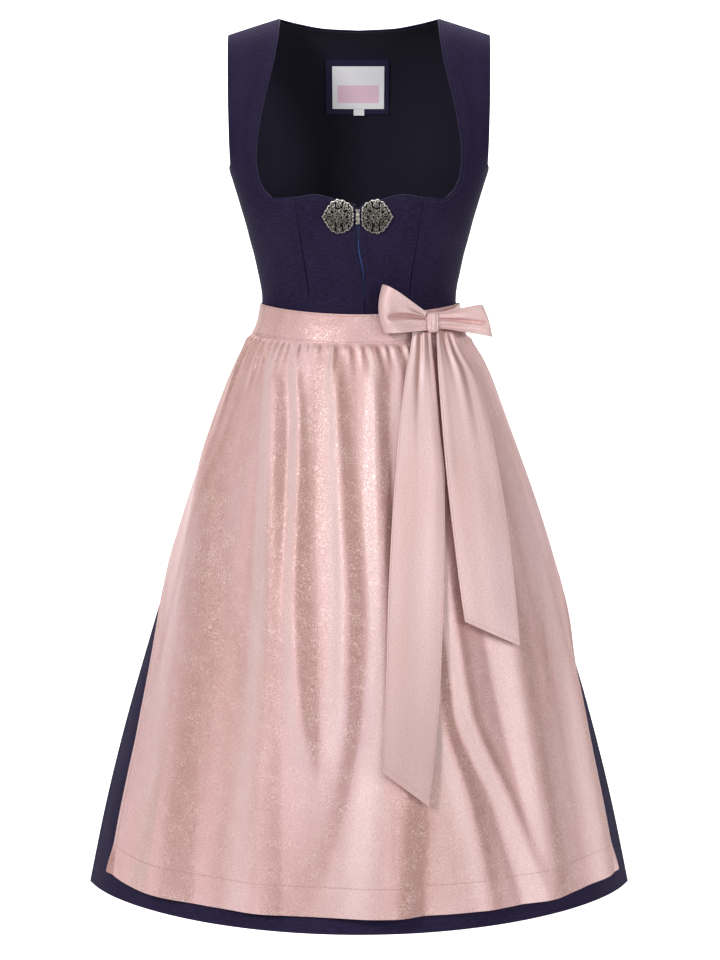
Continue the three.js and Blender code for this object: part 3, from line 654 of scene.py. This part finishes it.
# Edges of the bodice: piping on the neckline, and dashes of thread beside it and beside the slit
strapX, strapZ = ownRows(np.linspace(0, 1, 160), sideFrontRows[8:])[:2]
pipingLook = {"radius": 0.65, "lift": -0.8}
seamLook = {"pitch": 3.2, "length": 2.1, "thickness": 0.55, "fromNeck": 4, "fromSlit": 6.5}


def neckPath(side, away, lift):  # from the slit up to the shoulder, a distance away from the edge
    frontX = np.linspace(4, 103, 120)
    x = np.concatenate([frontX, strapX[1:] + away * 0.94])
    z = np.concatenate([neckFront(frontX) - away, strapZ[1:] - away * 0.34])
    z = np.minimum(z, shoulderHeight(x) - 0.1)
    return onForm(turnAt(side * x, z), z, lift)


backX = np.linspace(-96, 96, 80)
pipingPaths = [neckPath(side, 0, pipingLook["lift"]) for side in (-1, 1)]
pipingPaths.append(onForm(180 - turnAt(backX, backNeck(backX)), backNeck(backX), pipingLook["lift"]))
makeTube("neckPiping", pipingPaths, pipingLook["radius"], pipingCloth)

seamPaths = []
slitZ = np.linspace(-352, -262, 60)
for side in (-1, 1):
    slitX = slitMiddle(slitZ) + side * (slitWidth(slitZ) / 2 + seamLook["fromSlit"])
    seamPaths += [neckPath(side, seamLook["fromNeck"], 0.15), onForm(turnAt(slitX, slitZ), slitZ, 0.35)]
makeRow("bodiceStitches", seamPaths, seamLook, navyThread)
print("edges and stitches of the bodice made")


# Clasp: two halves of filigree, drawn flat around a middle and laid on the form
claspLook = {"z": -239, "left": -24.2, "right": 20.6, "wire": 0.55, "lift": 3.0, "dome": 1.2, "ground": 1.0,
             "winds": 1.35, "lobes": 17, "lobeDepth": 0.7}
claspOutline = curve([0, 15, 35, 60, 90, 115, 140, 160, 180],
                     [19.8, 17.9, 17.2, 18.8, 20.2, 19.6, 19.9, 18.4, 17])
claspRings = [  # share of the outline, number of scrolls, their size, hand and shift
    (0.85, 12, 2.6, 1, 0), (0.64, 10, 2.9, -1, 0.5), (0.4, 7, 2.9, 1, 0.25), (0.15, 3, 2.8, -1, 0.1)]
claspBeads = {"pitch": 3.6, "length": 1, "thickness": 2.1, "round": True}


def claspEdge(angle, share=1.0, more=0.0):  # flat points at a share of the outline, angle in degrees
    reach = claspOutline(np.where(angle <= 180, angle, 360 - angle)) * share + more
    return np.stack([reach * np.cos(np.radians(angle)), reach * np.sin(np.radians(angle))], axis=-1)


def scroll(middle, size, turn, hand):  # a C scroll that winds in from its outer end
    share = np.linspace(0, 1, 22)
    angle = math.radians(turn) + hand * share * claspLook["winds"] * 2 * math.pi
    reach = size * (1 - share) ** 0.8 + 0.12 * size
    return middle + np.stack([reach * np.cos(angle), reach * np.sin(angle)], axis=-1)


def claspPaths():
    paths = []
    for share, number, size, hand, shift in claspRings:
        for angle in (np.arange(number) + shift) / number * 360:
            flip = 1 if angle <= 180 else -1
            paths.append(scroll(claspEdge(angle, share), size, angle + 90 * flip, hand * flip))
    angles = np.linspace(0, 360, 120, endpoint=False)
    rim = claspEdge(angles, 0.98, claspLook["lobeDepth"] * np.cos(np.radians(angles * claspLook["lobes"])))
    return paths + [np.concatenate([rim, rim[:1]])]


def onClasp(flat, middle, side, lift):
    x, z = middle + side * flat[..., 0], claspLook["z"] + flat[..., 1]
    height = lift + claspLook["dome"] * (1 - np.clip(np.hypot(flat[..., 0], flat[..., 1]) / 21, 0, 1) ** 2)
    turn, formZ = underPoint(x, z, height)
    return onForm(turn, formZ, height)


for label, side in (("left", -1), ("right", 1)):
    name, middle = "clasp" + label.capitalize(), claspLook[label]
    wires = [onClasp(path, middle, side, claspLook["lift"]) for path in claspPaths()]
    makeTube(name, wires, claspLook["wire"], silver, ["clasp_" + label], sides=6)
    beads = onClasp(claspEdge(np.linspace(0, 360, 18), 1, -0.5), middle, side, claspLook["lift"])
    makeRow(name + "Beads", [beads], claspBeads, silver)
    v, u = grid(14, 49)
    flat = claspEdge(u * 360, 0.93 * v + 0.001)
    top = onClasp(flat, middle, side, claspLook["ground"] + 0.6)
    low = onClasp(flat, middle, side, claspLook["ground"] - 0.3)
    normals = (top - low) / np.linalg.norm(top - low, axis=-1, keepdims=True)
    makeWall(name + "Ground", top, normals, 0.8, patina, "metal")

# Hook between the halves: two upright wires and four rungs
hookLook = {"tall": 8.5, "x": -1.5, "apart": 1.1, "wire": 0.9, "rungs": 7.5, "rungHalf": 2.7, "lift": 4.2}
hookZ = np.linspace(-hookLook["tall"], hookLook["tall"], 24) + claspLook["z"]
rungX = np.linspace(-hookLook["rungHalf"], hookLook["rungHalf"], 8) + hookLook["x"]
hookPaths = [onForm(turnAt(hookLook["x"] + away, hookZ), hookZ, hookLook["lift"])
             for away in (-hookLook["apart"], hookLook["apart"])]
for z in np.linspace(-hookLook["rungs"], hookLook["rungs"], 4) + claspLook["z"]:
    hookPaths.append(onForm(turnAt(rungX, z), z, hookLook["lift"] + 0.2))
makeTube("claspHook", hookPaths, hookLook["wire"], silver, ["clasp_hook"])
print("clasp made")


# Skirt
skirtLook = {"wall": 1.6, "gathers": 24, "gatherRise": 1.3, "gatherReach": 70, "sink": 4, "seamTurn": 179.92}
# folds of the sides and the back: turn, rise at the hem, spread
skirtFolds = [(92, 3, 9), (113, 10, 8), (137, 11, 9), (160, 9, 8), (180, 10, 8)]
skirtRipple = smoothNoise(11, 70, 0, 180)


def skirtLift(turn, z):
    drop = np.maximum(0, body["waist"] - 20 - z)
    grown = (drop / (body["waist"] - body["hem"])) ** 0.8
    around = np.abs(np.where(turn > 180, 360 - turn, turn))
    folds = sum(rise * bell(around - at, spread) for at, rise, spread in skirtFolds)
    gathers = skirtLook["gatherRise"] * (1 - np.cos(np.radians(around) * skirtLook["gathers"] * 2))
    gathers = gathers * ease(106, 114, around) * ease(0, 14, drop) * np.exp(-drop / skirtLook["gatherReach"])
    flat = skirtLook["sink"] * ease(92, 112, around)
    return grown * (folds - flat) + gathers + skirtRipple(around) * ease(70, 110, around)


def skirtPanel(name, node, columns, first, last):  # the edges may depend on the height
    v, u = grid(90, columns)
    height = lerp(body["waist"] - body["seamGap"], body["hem"], v)
    turn = lerp(first(height), last(height), u)
    z = lerp(waistHeight(turn) - 0.5, body["hem"], v)
    return navyWall(name, node, turn, z, skirtLift(turn, z), skirtLook["wall"])


skirtPanel("skirtFront", "skirt_front", 120, lambda z: -frontSide(z), frontSide)
skirtPanel("skirtBackLeft", "skirt_back_left", 180, lambda z: -backSide(z), lambda z: -skirtLook["seamTurn"])
skirtPanel("skirtBackRight", "skirt_back_right", 180, lambda z: skirtLook["seamTurn"], backSide)
print("skirt made")

# Apron. Its side edges by height: turn on the left and on the right
apronEdge = table(("z", "left", "right"), [
    (-1061, -65, 68), (-1000, -65.5, 68.5), (-900, -65.6, 68.4), (-850, -66.8, 70), (-800, -69, 73.4),
    (-750, -73.2, 78.6), (-715, -79, 82), (-685, -85, 85.5), (-640, -90, 88.5), (-500, -94, 90),
    (-387, -98, 86)])
foldHeights = [-1050, -930, -820, -710, -600, -500, -400]
apronFolds = [  # turns at the fold heights from the top down, then rises, then the spread at top and hem
    ((-88, -81, -62, -54, -49, -46, -45), (1, 3, 5, 5, 5, 5, 4), 10, 7),
    ((-58, -46, -40, -35, -31.5, -30, -29), (-6, -10, -12, -10, -6, -3, -2), 8, 6),
    ((-45, -36, -30, -26.5, -24, -22, -20), (4, 6, 6, 4.5, 2.5, 3, 4), 6, 5),
    ((-37, -28, -24, -21, -19, -17, -15.5), (-2, -2.2, -2, -1, -1, -1.5, -2), 3.5, 4),
    ((-32, -23.5, -20, -17.5, -14, -9, -7.5), (2.5, 3, 3, 3.5, 4, 1.5, 0), 2.6, 3),
    ((-21.5, -16, -13.5, -11, -9.5, -9, -8.5), (-1.5, -2.2, -2.6, -3.2, -3.2, -1, 0), 3.8, 4.4),
    ((-11, -7.5, -5, -3, -3, -5, -5.5), (2, 3, 3.5, 4, 4, 2, 0), 3, 3),
    ((-1.5, -0.5, 1, 2.5, 1, -2.5, -9.5), (-2, -2.2, -2.6, -3, -3.6, -4.4, -4.4), 3.4, 4.4),
    ((7.7, 6.6, 6.5, 6.6, 6.4, 4, 2.3), (2.5, 3, 3, 3, 3, 4, 5), 3, 4),
    ((-75, -70, -60, -50, -42, -38.5, -36), (0, 0, 0, 0, -1.5, -3, -4), 5, 6),
    ((15.5, 12, 11, 11, 12, 9.5, 8), (-2.5, -3.2, -3, -1, 1, 4, 6), 1.8, 3.5),
    ((20, 18, 18, 17, 17, 16, 14), (1.5, 2, 2, 0, -1, -4, -6), 2.5, 3.4),
    ((24, 24, 22, 20, 20, 24, 27), (0, 1, 1.5, 2, 4, 4.5, 3), 2, 2.2),
    ((28, 27, 25, 23.5, 23.5, 30, 35), (0, -0.5, -1, -2, -4.5, -4.5, -3), 2, 2.4),
    ((31, 30, 28, 26.5, 27, 34, 40), (1, 1, 2, 3, 4, 4.5, 3), 2.2, 2),
    ((38, 37, 36, 35.5, 36, 38, 40), (-1, -2, -2, -4, -4.5, -2, 0), 3, 3.4),
    ((46, 46, 45, 45, 44, 43, 43), (1, 1.5, 2, 2.5, 3.5, 4.5, 5), 4, 4),
    ((60, 60, 60, 60, 59, 57, 56), (-1, -1, -1, -1.5, -2, -3, -3.5), 4, 5),
    ((72, 71, 71, 70, 68, 65, 64), (1, 1.5, 2.5, 3, 3.5, 4, 4), 5, 4),
    ((84, 83, 82, 80, 78, 74, 72), (1.5, 2.5, 3, 3, 2, 0, 0), 5, 4)]
apronLook = {"wall": 1.1, "hem": -1061, "gathers": 46, "folds": 1.7, "softening": 2.5, "ripple": 0.3,
             "rows": 150, "columns": 318, "cloth": (780, 680)}
foldLines = [(curve(foldHeights, turns[::-1]), curve(foldHeights, rises[::-1]), top, low)
             for turns, rises, top, low in apronFolds]
count = apronLook["gathers"]
gatherRandom = np.random.default_rng(5)
gatherShares = (np.arange(count) + 0.5 + gatherRandom.uniform(-0.32, 0.32, count)) / count
gatherRises = gatherRandom.uniform(2.6, 5.0, count)
gatherReach = 7 + 14 * gatherRandom.random(count) + 90 * gatherRandom.random(count) ** 5
gatherLean = gatherRandom.uniform(-0.012, 0.012, count)
apronRipple = [(height, smoothNoise(20 + k, 60, -105, 92)) for k, height in enumerate((-450, -700, -950))]

bandLook = {"wall": 1.5, "from": -104, "to": 86, "top": -349, "topDip": 8.4,
            "bottom": -387.4, "bottomDip": 6.7}


def bandTop(turn):
    return bandLook["top"] - bandLook["topDip"] * np.maximum(0, np.cos(np.radians(turn))) ** 2


def bandBottom(turn):
    return bandLook["bottom"] - bandLook["bottomDip"] * np.maximum(0, np.cos(np.radians(turn))) ** 2


def apronLift(turn, z, share):
    drop = np.maximum(0, -390 - z)
    folds = 0
    for place, rises, top, low in foldLines:
        spread = 1.1 * lerp(top, low, ease(0, 600, drop))
        size = apronLook["folds"] * lerp(0.55, 1, ease(1.8, 3.4, spread))
        rise, away = rises(z), turn - place(z)
        valley = np.exp(-np.abs(away / spread) ** 1.3)  # valleys are sharper than ridges
        folds = folds + size * rise * np.where(rise < 0, valley, bell(away, spread))
    folds = folds * ease(0, 60, drop)
    for k, (height, ripple) in enumerate(apronRipple):
        wave = ripple(turn + (z + 700) * 0.008 * (k - 1)) * bell(z - height, 190)
        folds = folds + apronLook["ripple"] * wave * ease(20, 90, drop)
    gathers = 0
    for at, lean, rise, reach in zip(gatherShares, gatherLean, gatherRises, gatherReach):
        away = share - (at + lean * drop / 60)
        gathers = gathers + rise * np.exp(-(drop / reach) ** 1.5) * bell(away, 0.0068 + drop * 0.00007)
    gathers = gathers * ease(0, 9, bandBottom(turn) - z)  # the band's edge presses them flat
    # the cloth stands off the skirt a little more from band to hem, least near its left edge
    least = 2.0 + 1.2 * ease(0, 40, drop)
    wanted = 2.0 + (2.4 * ease(0, 40, drop) + 5 * ease(40, 260, drop)) * ease(-92, -64, turn) + folds
    soft = apronLook["softening"]  # rounds off the valleys that would sink below the least distance
    softer = least + soft * np.log1p(np.exp(np.clip((wanted - least) / soft, -30, 30)))
    return softer + gathers + np.maximum(0, skirtLift(turn, z))


def apronPlace(across, down):  # turn and height of the points at these shares of the apron
    height = lerp(bandLook["bottom"], apronLook["hem"] + 2, down)
    turn = lerp(apronEdge["left"](height), apronEdge["right"](height), across)
    hem = apronLook["hem"] + 10 * np.abs(2 * across - 1) ** 8
    return turn, lerp(bandBottom(turn) + 1.5, hem, down)


def apronPath(across, down):  # points on the apron's outer face, for its stitches
    turn, z = apronPlace(across, down)
    return onForm(turn, z, apronLift(turn, z, across) + 0.12)


v, u = grid(apronLook["rows"], apronLook["columns"])
turn, z = apronPlace(u, v ** 1.25)
cornerCurl = 5 * (ease(0.985, 1, u) + ease(0.015, 0, u)) * ease(0.95, 1, v)
wallOnForm("apronSkirt", turn, z, apronLift(turn, z, u) + cornerCurl, apronLook["wall"], damaskTaffeta,
           "rose", ["apron_skirt"], clothSize=apronLook["cloth"])
hemShares, downShares = np.linspace(0.004, 0.996, 400), np.linspace(0.03, 0.99, 200)
apronPaths = [apronPath(hemShares, 0.947), apronPath(0.012, downShares), apronPath(0.988, downShares)]
makeRow("apronStitches", apronPaths, {"pitch": 3.6, "length": 2.5, "thickness": 0.7}, roseThread)
print("apron made")


# Waistband and the tie that goes on from it round the back to the knot
def bandLift(v):
    return lerp(4.2, 2.3, v) + 0.5 * np.sin(np.pi * v)


def bandHeight(turn, share):
    return lerp(bandBottom(turn), bandTop(turn), share)


v, u = grid(24, 200)
turn = lerp(bandLook["from"], bandLook["to"], u)
bandWave = 0.35 * smoothNoise(31, 50, -104, 86)(turn) * (1 - v) + 0.2 * smoothNoise(32, 24, -104, 86)(turn)
wallOnForm("waistband", turn, bandHeight(turn, v), bandLift(v) + bandWave, bandLook["wall"], damaskTaffeta,
           "rose", ["apron_waistband"])
turn = np.linspace(bandLook["from"] + 0.5, bandLook["to"] - 0.5, 300)
bandPaths = [onForm(turn, bandHeight(turn, share), bandLift(share) + 0.4) for share in (0.06, 0.94)]
makeRow("bandStitches", bandPaths, {"pitch": 3.2, "length": 2.2, "thickness": 0.5}, roseThread)

tieLook = {"from": 255.7, "to": 36, "over": 2.7, "folds": 3, "foldRise": 0.9, "narrow": 0.62, "wall": 1.2}
v, u = grid(24, 220)
turn = lerp(tieLook["from"], tieLook["to"], u)
wide = 1 - ease(84, 52, turn)  # near the knot the tie narrows and folds
middle = lerp(body["waist"], bandHeight(turn, 0.5), wide)
half = (bandTop(turn) - bandBottom(turn)) / 2 * lerp(tieLook["narrow"], 1, wide)
pleats = tieLook["foldRise"] * (1 + np.cos(v * tieLook["folds"] * 2 * np.pi))
lift = bandLift(v) + tieLook["over"] * ease(98, 89, turn) + pleats * ease(96, 56, turn) * ease(44, 54, turn)
wallOnForm("tieBack", turn, lerp(middle - half, middle + half, v), lift, tieLook["wall"], plainTaffeta,
           "rose", ["tie_back"])
print("band and tie made")

# Bow: knot, loops and hanging ends
knotLook = {"middle": (88, -83.9, -368), "lean": 34, "wide": 9, "deep": 7.5, "tall": 12, "rings": 41,
            "around": 64}


def power(value, exponent):
    return np.sign(value) * np.abs(value) ** exponent


v, u = grid(knotLook["rings"], knotLook["around"])
polar, around = (v * 0.998 + 0.001) * np.pi, u * 2 * np.pi * (1 - 1 / knotLook["around"])
knotU, knotV, knotW = np.sin(polar) * np.cos(around), np.cos(polar), np.sin(polar) * np.sin(around)
lean = math.radians(knotLook["lean"])
axes = np.array([(math.cos(lean), math.sin(lean), 0), (math.sin(lean), -math.cos(lean), 0), (0, 0, 1)])
creases = 1 + 0.06 * np.cos(knotU * 11 + 0.8 * knotV) * (knotW > 0) - 0.12 * (1 - knotV ** 2)
reaches = np.stack([knotLook["wide"] * creases * power(knotU, 0.62),
                    knotLook["deep"] * creases * power(knotW, 0.62),
                    knotLook["tall"] * power(knotV, 0.5)], axis=-1)
knotPoints = (reaches @ axes + knotLook["middle"]).reshape(-1, 3)
ids = np.arange(knotPoints.shape[0]).reshape(v.shape)
after = np.roll(ids, -1, axis=1)
knotFaces = np.stack([ids[:-1], after[:-1], after[1:], ids[1:]], axis=-1).reshape(-1, 4).tolist()
knotFaces += [ids[0, ::-1].tolist(), ids[-1].tolist()]
if signedVolume(knotPoints - knotPoints.mean(axis=0), knotFaces) < 0:
    knotFaces = [face[::-1] for face in knotFaces]
makeObject("bowKnot", knotPoints, knotFaces, plainTaffeta, ["bow_knot"],
           np.stack([u * 55, v * 30], axis=-1).reshape(-1, 2) * 0.001)

# Loops: which way they point, how far their upper and lower edges reach, and the heights of these edges at
# the knot and at the end; the crease goes from one share of the width to another and has a depth. All
# loops share where they start, how far they bulge in front and behind, and the size of pleats and dent.
loopShape = {"start": 8.5, "front": 13, "behind": 2, "wall": 1.2, "pleats": 3, "pleatRise": 1.5, "dent": 2.5}
loopLooks = {
    "Left": {"dir": (-0.925, -0.38), "length": (55, 53), "bulge": 6, "near": (-355, -377),
             "end": (-320.5, -378.8), "crease": (0.35, 0.68, 5.6)},
    "Right": {"dir": (0.94, 0.34), "length": (57, 70), "bulge": 2, "near": (-356, -374),
              "end": (-347, -387), "crease": (0.42, 0.6, 4.0)}}


def loopPoints(look, q, v):  # q runs along the cloth, out behind and back in front; v across it
    along = np.array((*look["dir"], 0.0)) / np.linalg.norm(look["dir"])
    front = np.array((along[1], -along[0], 0.0))
    front = front if front[1] < 0 else -front
    reach = (1 - np.abs(2 * q - 1) ** 2.2) ** 0.8
    far = lerp(*look["length"], v) + look["bulge"] * np.sin(np.pi * v)
    side = np.where(q < 0.5, loopShape["behind"], loopShape["front"])
    shown = ease(0.5, 0.8, q)
    depth = -side * np.sin(2 * np.pi * q) * (1 - 0.35 * np.sin(np.pi * v) * ease(0.5, 1, q))
    dent = -loopShape["dent"] * bell(reach - 0.66, 0.17) * bell(v - 0.5, 0.24) * shown
    pleats = loopShape["pleatRise"] * np.cos(2 * np.pi * loopShape["pleats"] * v)
    pleats = pleats * bell(reach - 0.2, 0.3) * shown
    start, stop, deep = look["crease"]
    away = v - lerp(start, stop, reach)
    crease = deep * (0.5 * bell(away - 0.13, 0.06) - bell(away, 0.06)) * ease(1, 0.85, reach) * shown
    z = lerp(lerp(look["near"][0], look["end"][0], reach), lerp(look["near"][1], look["end"][1], reach), v)
    out = 2.2 * (2 * q - 1) + depth + dent + pleats + crease
    flat = along * (loopShape["start"] + reach * far)[..., None] + front * out[..., None]
    return np.array((*knotLook["middle"][:2], 0.0)) + flat + np.array((0, 0, 1.0)) * z[..., None]


for label, look in loopLooks.items():
    v, q = grid(50, 130)
    step = loopPoints(look, np.minimum(1, q + 0.004), v) - loopPoints(look, np.maximum(0, q - 0.004), v)
    normal = np.stack([step[..., 1], -step[..., 0], np.zeros_like(q)], axis=-1)
    normal /= np.maximum(1e-9, np.linalg.norm(normal, axis=-1, keepdims=True))
    makeWall("bowLoop" + label, loopPoints(look, q, v), -normal, loopShape["wall"], plainTaffeta, "rose",
             ["bow_loop_" + label.lower()], clothSize=(150, 60))

tailRows = {  # left x and z, right x and z, lift off the form
    "left": [
        (65, -378, 87, -380.2, 13.5), (62, -400, 89, -404, 13.5), (57, -424, 92, -432, 14.5),
        (49.5, -481, 97, -492, 15.5), (44, -540, 103, -552, 16), (40, -590, 102.5, -606, 16.5),
        (34.6, -690, 100, -708, 17.5), (32, -782, 96, -800, 18.5), (29.5, -835, 90.5, -862, 19),
        (27, -884, 82.5, -929, 19)],
    "right": [
        (94.5, -377.8, 115, -381.4, 13), (95, -400, 126, -404, 17), (96, -425, 142, -430, 20),
        (99.6, -478, 157, -482, 22), (103, -520, 166.5, -528, 23), (108, -572, 176, -584, 24),
        (115.5, -636, 185, -655, 24.5), (121, -680, 190, -706, 25), (126.5, -717, 193.5, -752, 25)]}
tailFolds = {  # share across, rise at the knot, how far down it lasts in mm, spread across
    "left": [(0.2, 1.2, 60, 0.1), (0.45, -2.4, 80, 0.09), (0.62, 1.6, 70, 0.09), (0.85, -1, 60, 0.08),
             (0.8, 1.2, 300, 0.18), (0.3, 0.8, 420, 0.2)],
    "right": [(0.1, 1.2, 160, 0.1), (0.4, -2.2, 60, 0.09), (0.55, 1.8, 90, 0.09), (0.72, -1.8, 90, 0.08),
              (0.9, 1, 160, 0.08), (0.6, 1, 380, 0.22)]}
tailLook = {"wall": 1.2, "rows": 200, "columns": 64, "stitchIn": 0.03, "stitchEnd": 0.985, "wide": 68,
            "ripple": 0.9, "length": {"left": 560, "right": 380}, "turned": {"left": 15, "right": 2},
            "seed": {"left": 41, "right": 42}}
tailStitch = {"pitch": 3.2, "length": 2.2, "thickness": 0.45}


def tailPoints(side, u, v):  # turn, height and lift of the points at these shares of a hanging end
    leftX, leftZ, rightX, rightZ, lift = ownRows(v, tailRows[side], smooth=True)
    x, z = lerp(leftX, rightX, u), lerp(leftZ, rightZ, u)
    drop = np.maximum(0, -378 - z)
    rise = 0
    for at, height, reach, spread in tailFolds[side]:
        rise = rise + height * bell(u - at, spread) * np.exp(-(drop / reach) ** 2)
    ripple = smoothNoise(tailLook["seed"][side], 9, 0, 1)(v) * tailLook["ripple"] * np.sin(np.pi * u)
    turned = tailLook["turned"][side] * (1 - u) * ease(0.4, 0.95, v)
    height = lift + rise + turned + ripple * ease(0, 0.2, v)
    turn, formZ = underPoint(x, z, height)
    return turn, formZ, height


def tailPath(side, u, v):
    turn, z, height = tailPoints(side, u, v)
    return onForm(turn, z, height + 0.1)


tailPaths = []
for side in ("left", "right"):
    v, u = grid(tailLook["rows"], tailLook["columns"])
    wallOnForm("tail" + side.capitalize(), *tailPoints(side, u, v), tailLook["wall"], plainTaffeta, "rose",
               ["tail_" + side], clothSize=(tailLook["wide"], tailLook["length"][side]), start=(300, 0))
    down = np.linspace(0.05, tailLook["stitchEnd"], 260)
    tailPaths += [tailPath(side, edge, down) for edge in (tailLook["stitchIn"], 1 - tailLook["stitchIn"])]
    tailPaths.append(tailPath(side, np.linspace(0.04, 0.96, 60), tailLook["stitchEnd"]))
makeRow("tailStitches", tailPaths, tailStitch, roseThread)
print("bow made")

# Cut sizes of the cloth: width and length in metres, how it is held, and its area in square metres where
# it isn't the rectangle's
sheets = {
    "bodiceFrontLeft": ((0.088, 0.155), "stretched", 0.0112),
    "bodiceFrontRight": ((0.088, 0.155), "stretched", 0.0104),
    "sideFrontLeft": ((0.17, 0.4), "stretched", 0.033),
    "sideFrontRight": ((0.17, 0.4), "stretched", 0.033),
    "sideBackLeft": ((0.14, 0.26), "stretched", 0.0225),
    "sideBackRight": ((0.14, 0.26), "stretched", 0.0225),
    "bodiceBack": ((0.36, 0.38), "stretched", 0.094),
    "backLining": ((0.5, 0.38), "stretched", 0.131),
    "labelPatch": ((0.081, 0.069), "stretched", None),
    "wovenLabel": ((0.066, 0.054), "stretched", None),
    "zipTape": ((0.022, 0.137), "stretched", None),
    "skirtFront": ((0.96, 0.72), "gathered", 0.55),
    "skirtBackLeft": ((0.56, 0.72), "gathered", 0.3),
    "skirtBackRight": ((0.56, 0.72), "gathered", 0.3),
    "apronSkirt": ((0.78, 0.68), "gathered", None),
    "waistband": ((0.42, 0.038), "stretched", None),
    "tieBack": ((0.52, 0.036), "stretched", None),
    "bowKnot": ((0.04, 0.024), "folded", 0.0007),
    "bowLoopLeft": ((0.11, 0.046), "folded", None),
    "bowLoopRight": ((0.11, 0.046), "folded", None),
    "tailLeft": ((0.068, 0.56), "hung", None),
    "tailRight": ((0.068, 0.39), "hung", None)}
trims = {"sideFrontLeft": ["neckPiping", "bodiceStitches"], "wovenLabel": ["sizeTab"],
         "zipTape": ["zipSatin"], "apronSkirt": ["apronStitches"], "waistband": ["bandStitches"],
         "tailLeft": ["tailStitches"]}
for name, (flat, held, area) in sheets.items():
    more = {} if area is None else {"area": area}
    if name in trims:
        more["with_pieces"] = [bpy.data.objects[trim] for trim in trims[name]]

# Camera: sees what the photograph sees
cameraLook = {"place": (0.00125, -3.6, -0.15), "down": 6.654, "lens": 108.75, "sensor": 36}
camera = addObject("camera", bpy.data.cameras.new("camera"))
camera.location = cameraLook["place"]
camera.rotation_euler = (math.radians(90 - cameraLook["down"]), 0, 0)
camera.data.lens = cameraLook["lens"]
camera.data.sensor_width = cameraLook["sensor"]
bpy.context.scene.camera = camera

# Floor that bends up into a backdrop, painted a pale grey
floorLook = {"colour": "#F7F7F8", "height": -1.32, "front": -0.9, "back": 4.8, "half": 5.0, "bend": 2.4,
             "top": 3.4, "steps": 12}
floorMaterial = newMaterial("matt studio paint", {
    "Base Color": linear(floorLook["colour"]), "Roughness": 0.9, "Specular IOR Level": 0.1})[0]
profile = [(floorLook["front"], floorLook["height"])]
for k in range(floorLook["steps"] + 1):
    angle = math.pi / 2 * k / floorLook["steps"]
    profile.append((floorLook["back"] - floorLook["bend"] * (1 - math.sin(angle)),
                    floorLook["height"] + floorLook["bend"] * (1 - math.cos(angle))))
profile.append((floorLook["back"], floorLook["top"]))
floorMesh = bpy.data.meshes.new("backdrop")
floorMesh.from_pydata([(x, y, z) for y, z in profile for x in (-floorLook["half"], floorLook["half"])], [],
                      [(2 * k, 2 * k + 1, 2 * k + 3, 2 * k + 2) for k in range(len(profile) - 1)])
floorMesh.materials.append(floorMaterial)
floorMesh.shade_smooth()
addObject("backdrop", floorMesh)

# Soft studio light
lights = {
    "keyLight": {"place": (-1.9, -2.9, 1.1), "aim": (0, 0, -0.55), "size": 0.8, "power": 92},
    "fillLight": {"place": (2.4, -2.8, 0.1), "aim": (0, 0, -0.55), "size": 1.4, "power": 42},
    "frontLight": {"place": (0.7, -4.2, 0.5), "aim": (0, 0, -0.55), "size": 1.1, "power": 30},
    "backdropLight": {"place": (0.0, 1.6, 2.5), "aim": (0, 3.6, -0.8), "size": 3.4, "power": 330}}
for label, light in lights.items():
    data = bpy.data.lights.new(label, "AREA")
    data.energy, data.size = light["power"], light["size"]
    lamp = addObject(label, data)
    lamp.location = light["place"]
    x, y, z = np.subtract(light["aim"], light["place"])
    lamp.rotation_euler = (math.atan2(math.hypot(x, y), -z), 0, math.atan2(-x, y))
world = bpy.data.worlds.new("studio")
world.use_nodes = True
world.node_tree.nodes["Background"].inputs[0].default_value = (1, 1, 1, 1)
world.node_tree.nodes["Background"].inputs[1].default_value = 0.1
bpy.context.scene.world = world
bpy.context.scene.view_settings.view_transform = "Standard"
print("camera, backdrop and lights made")
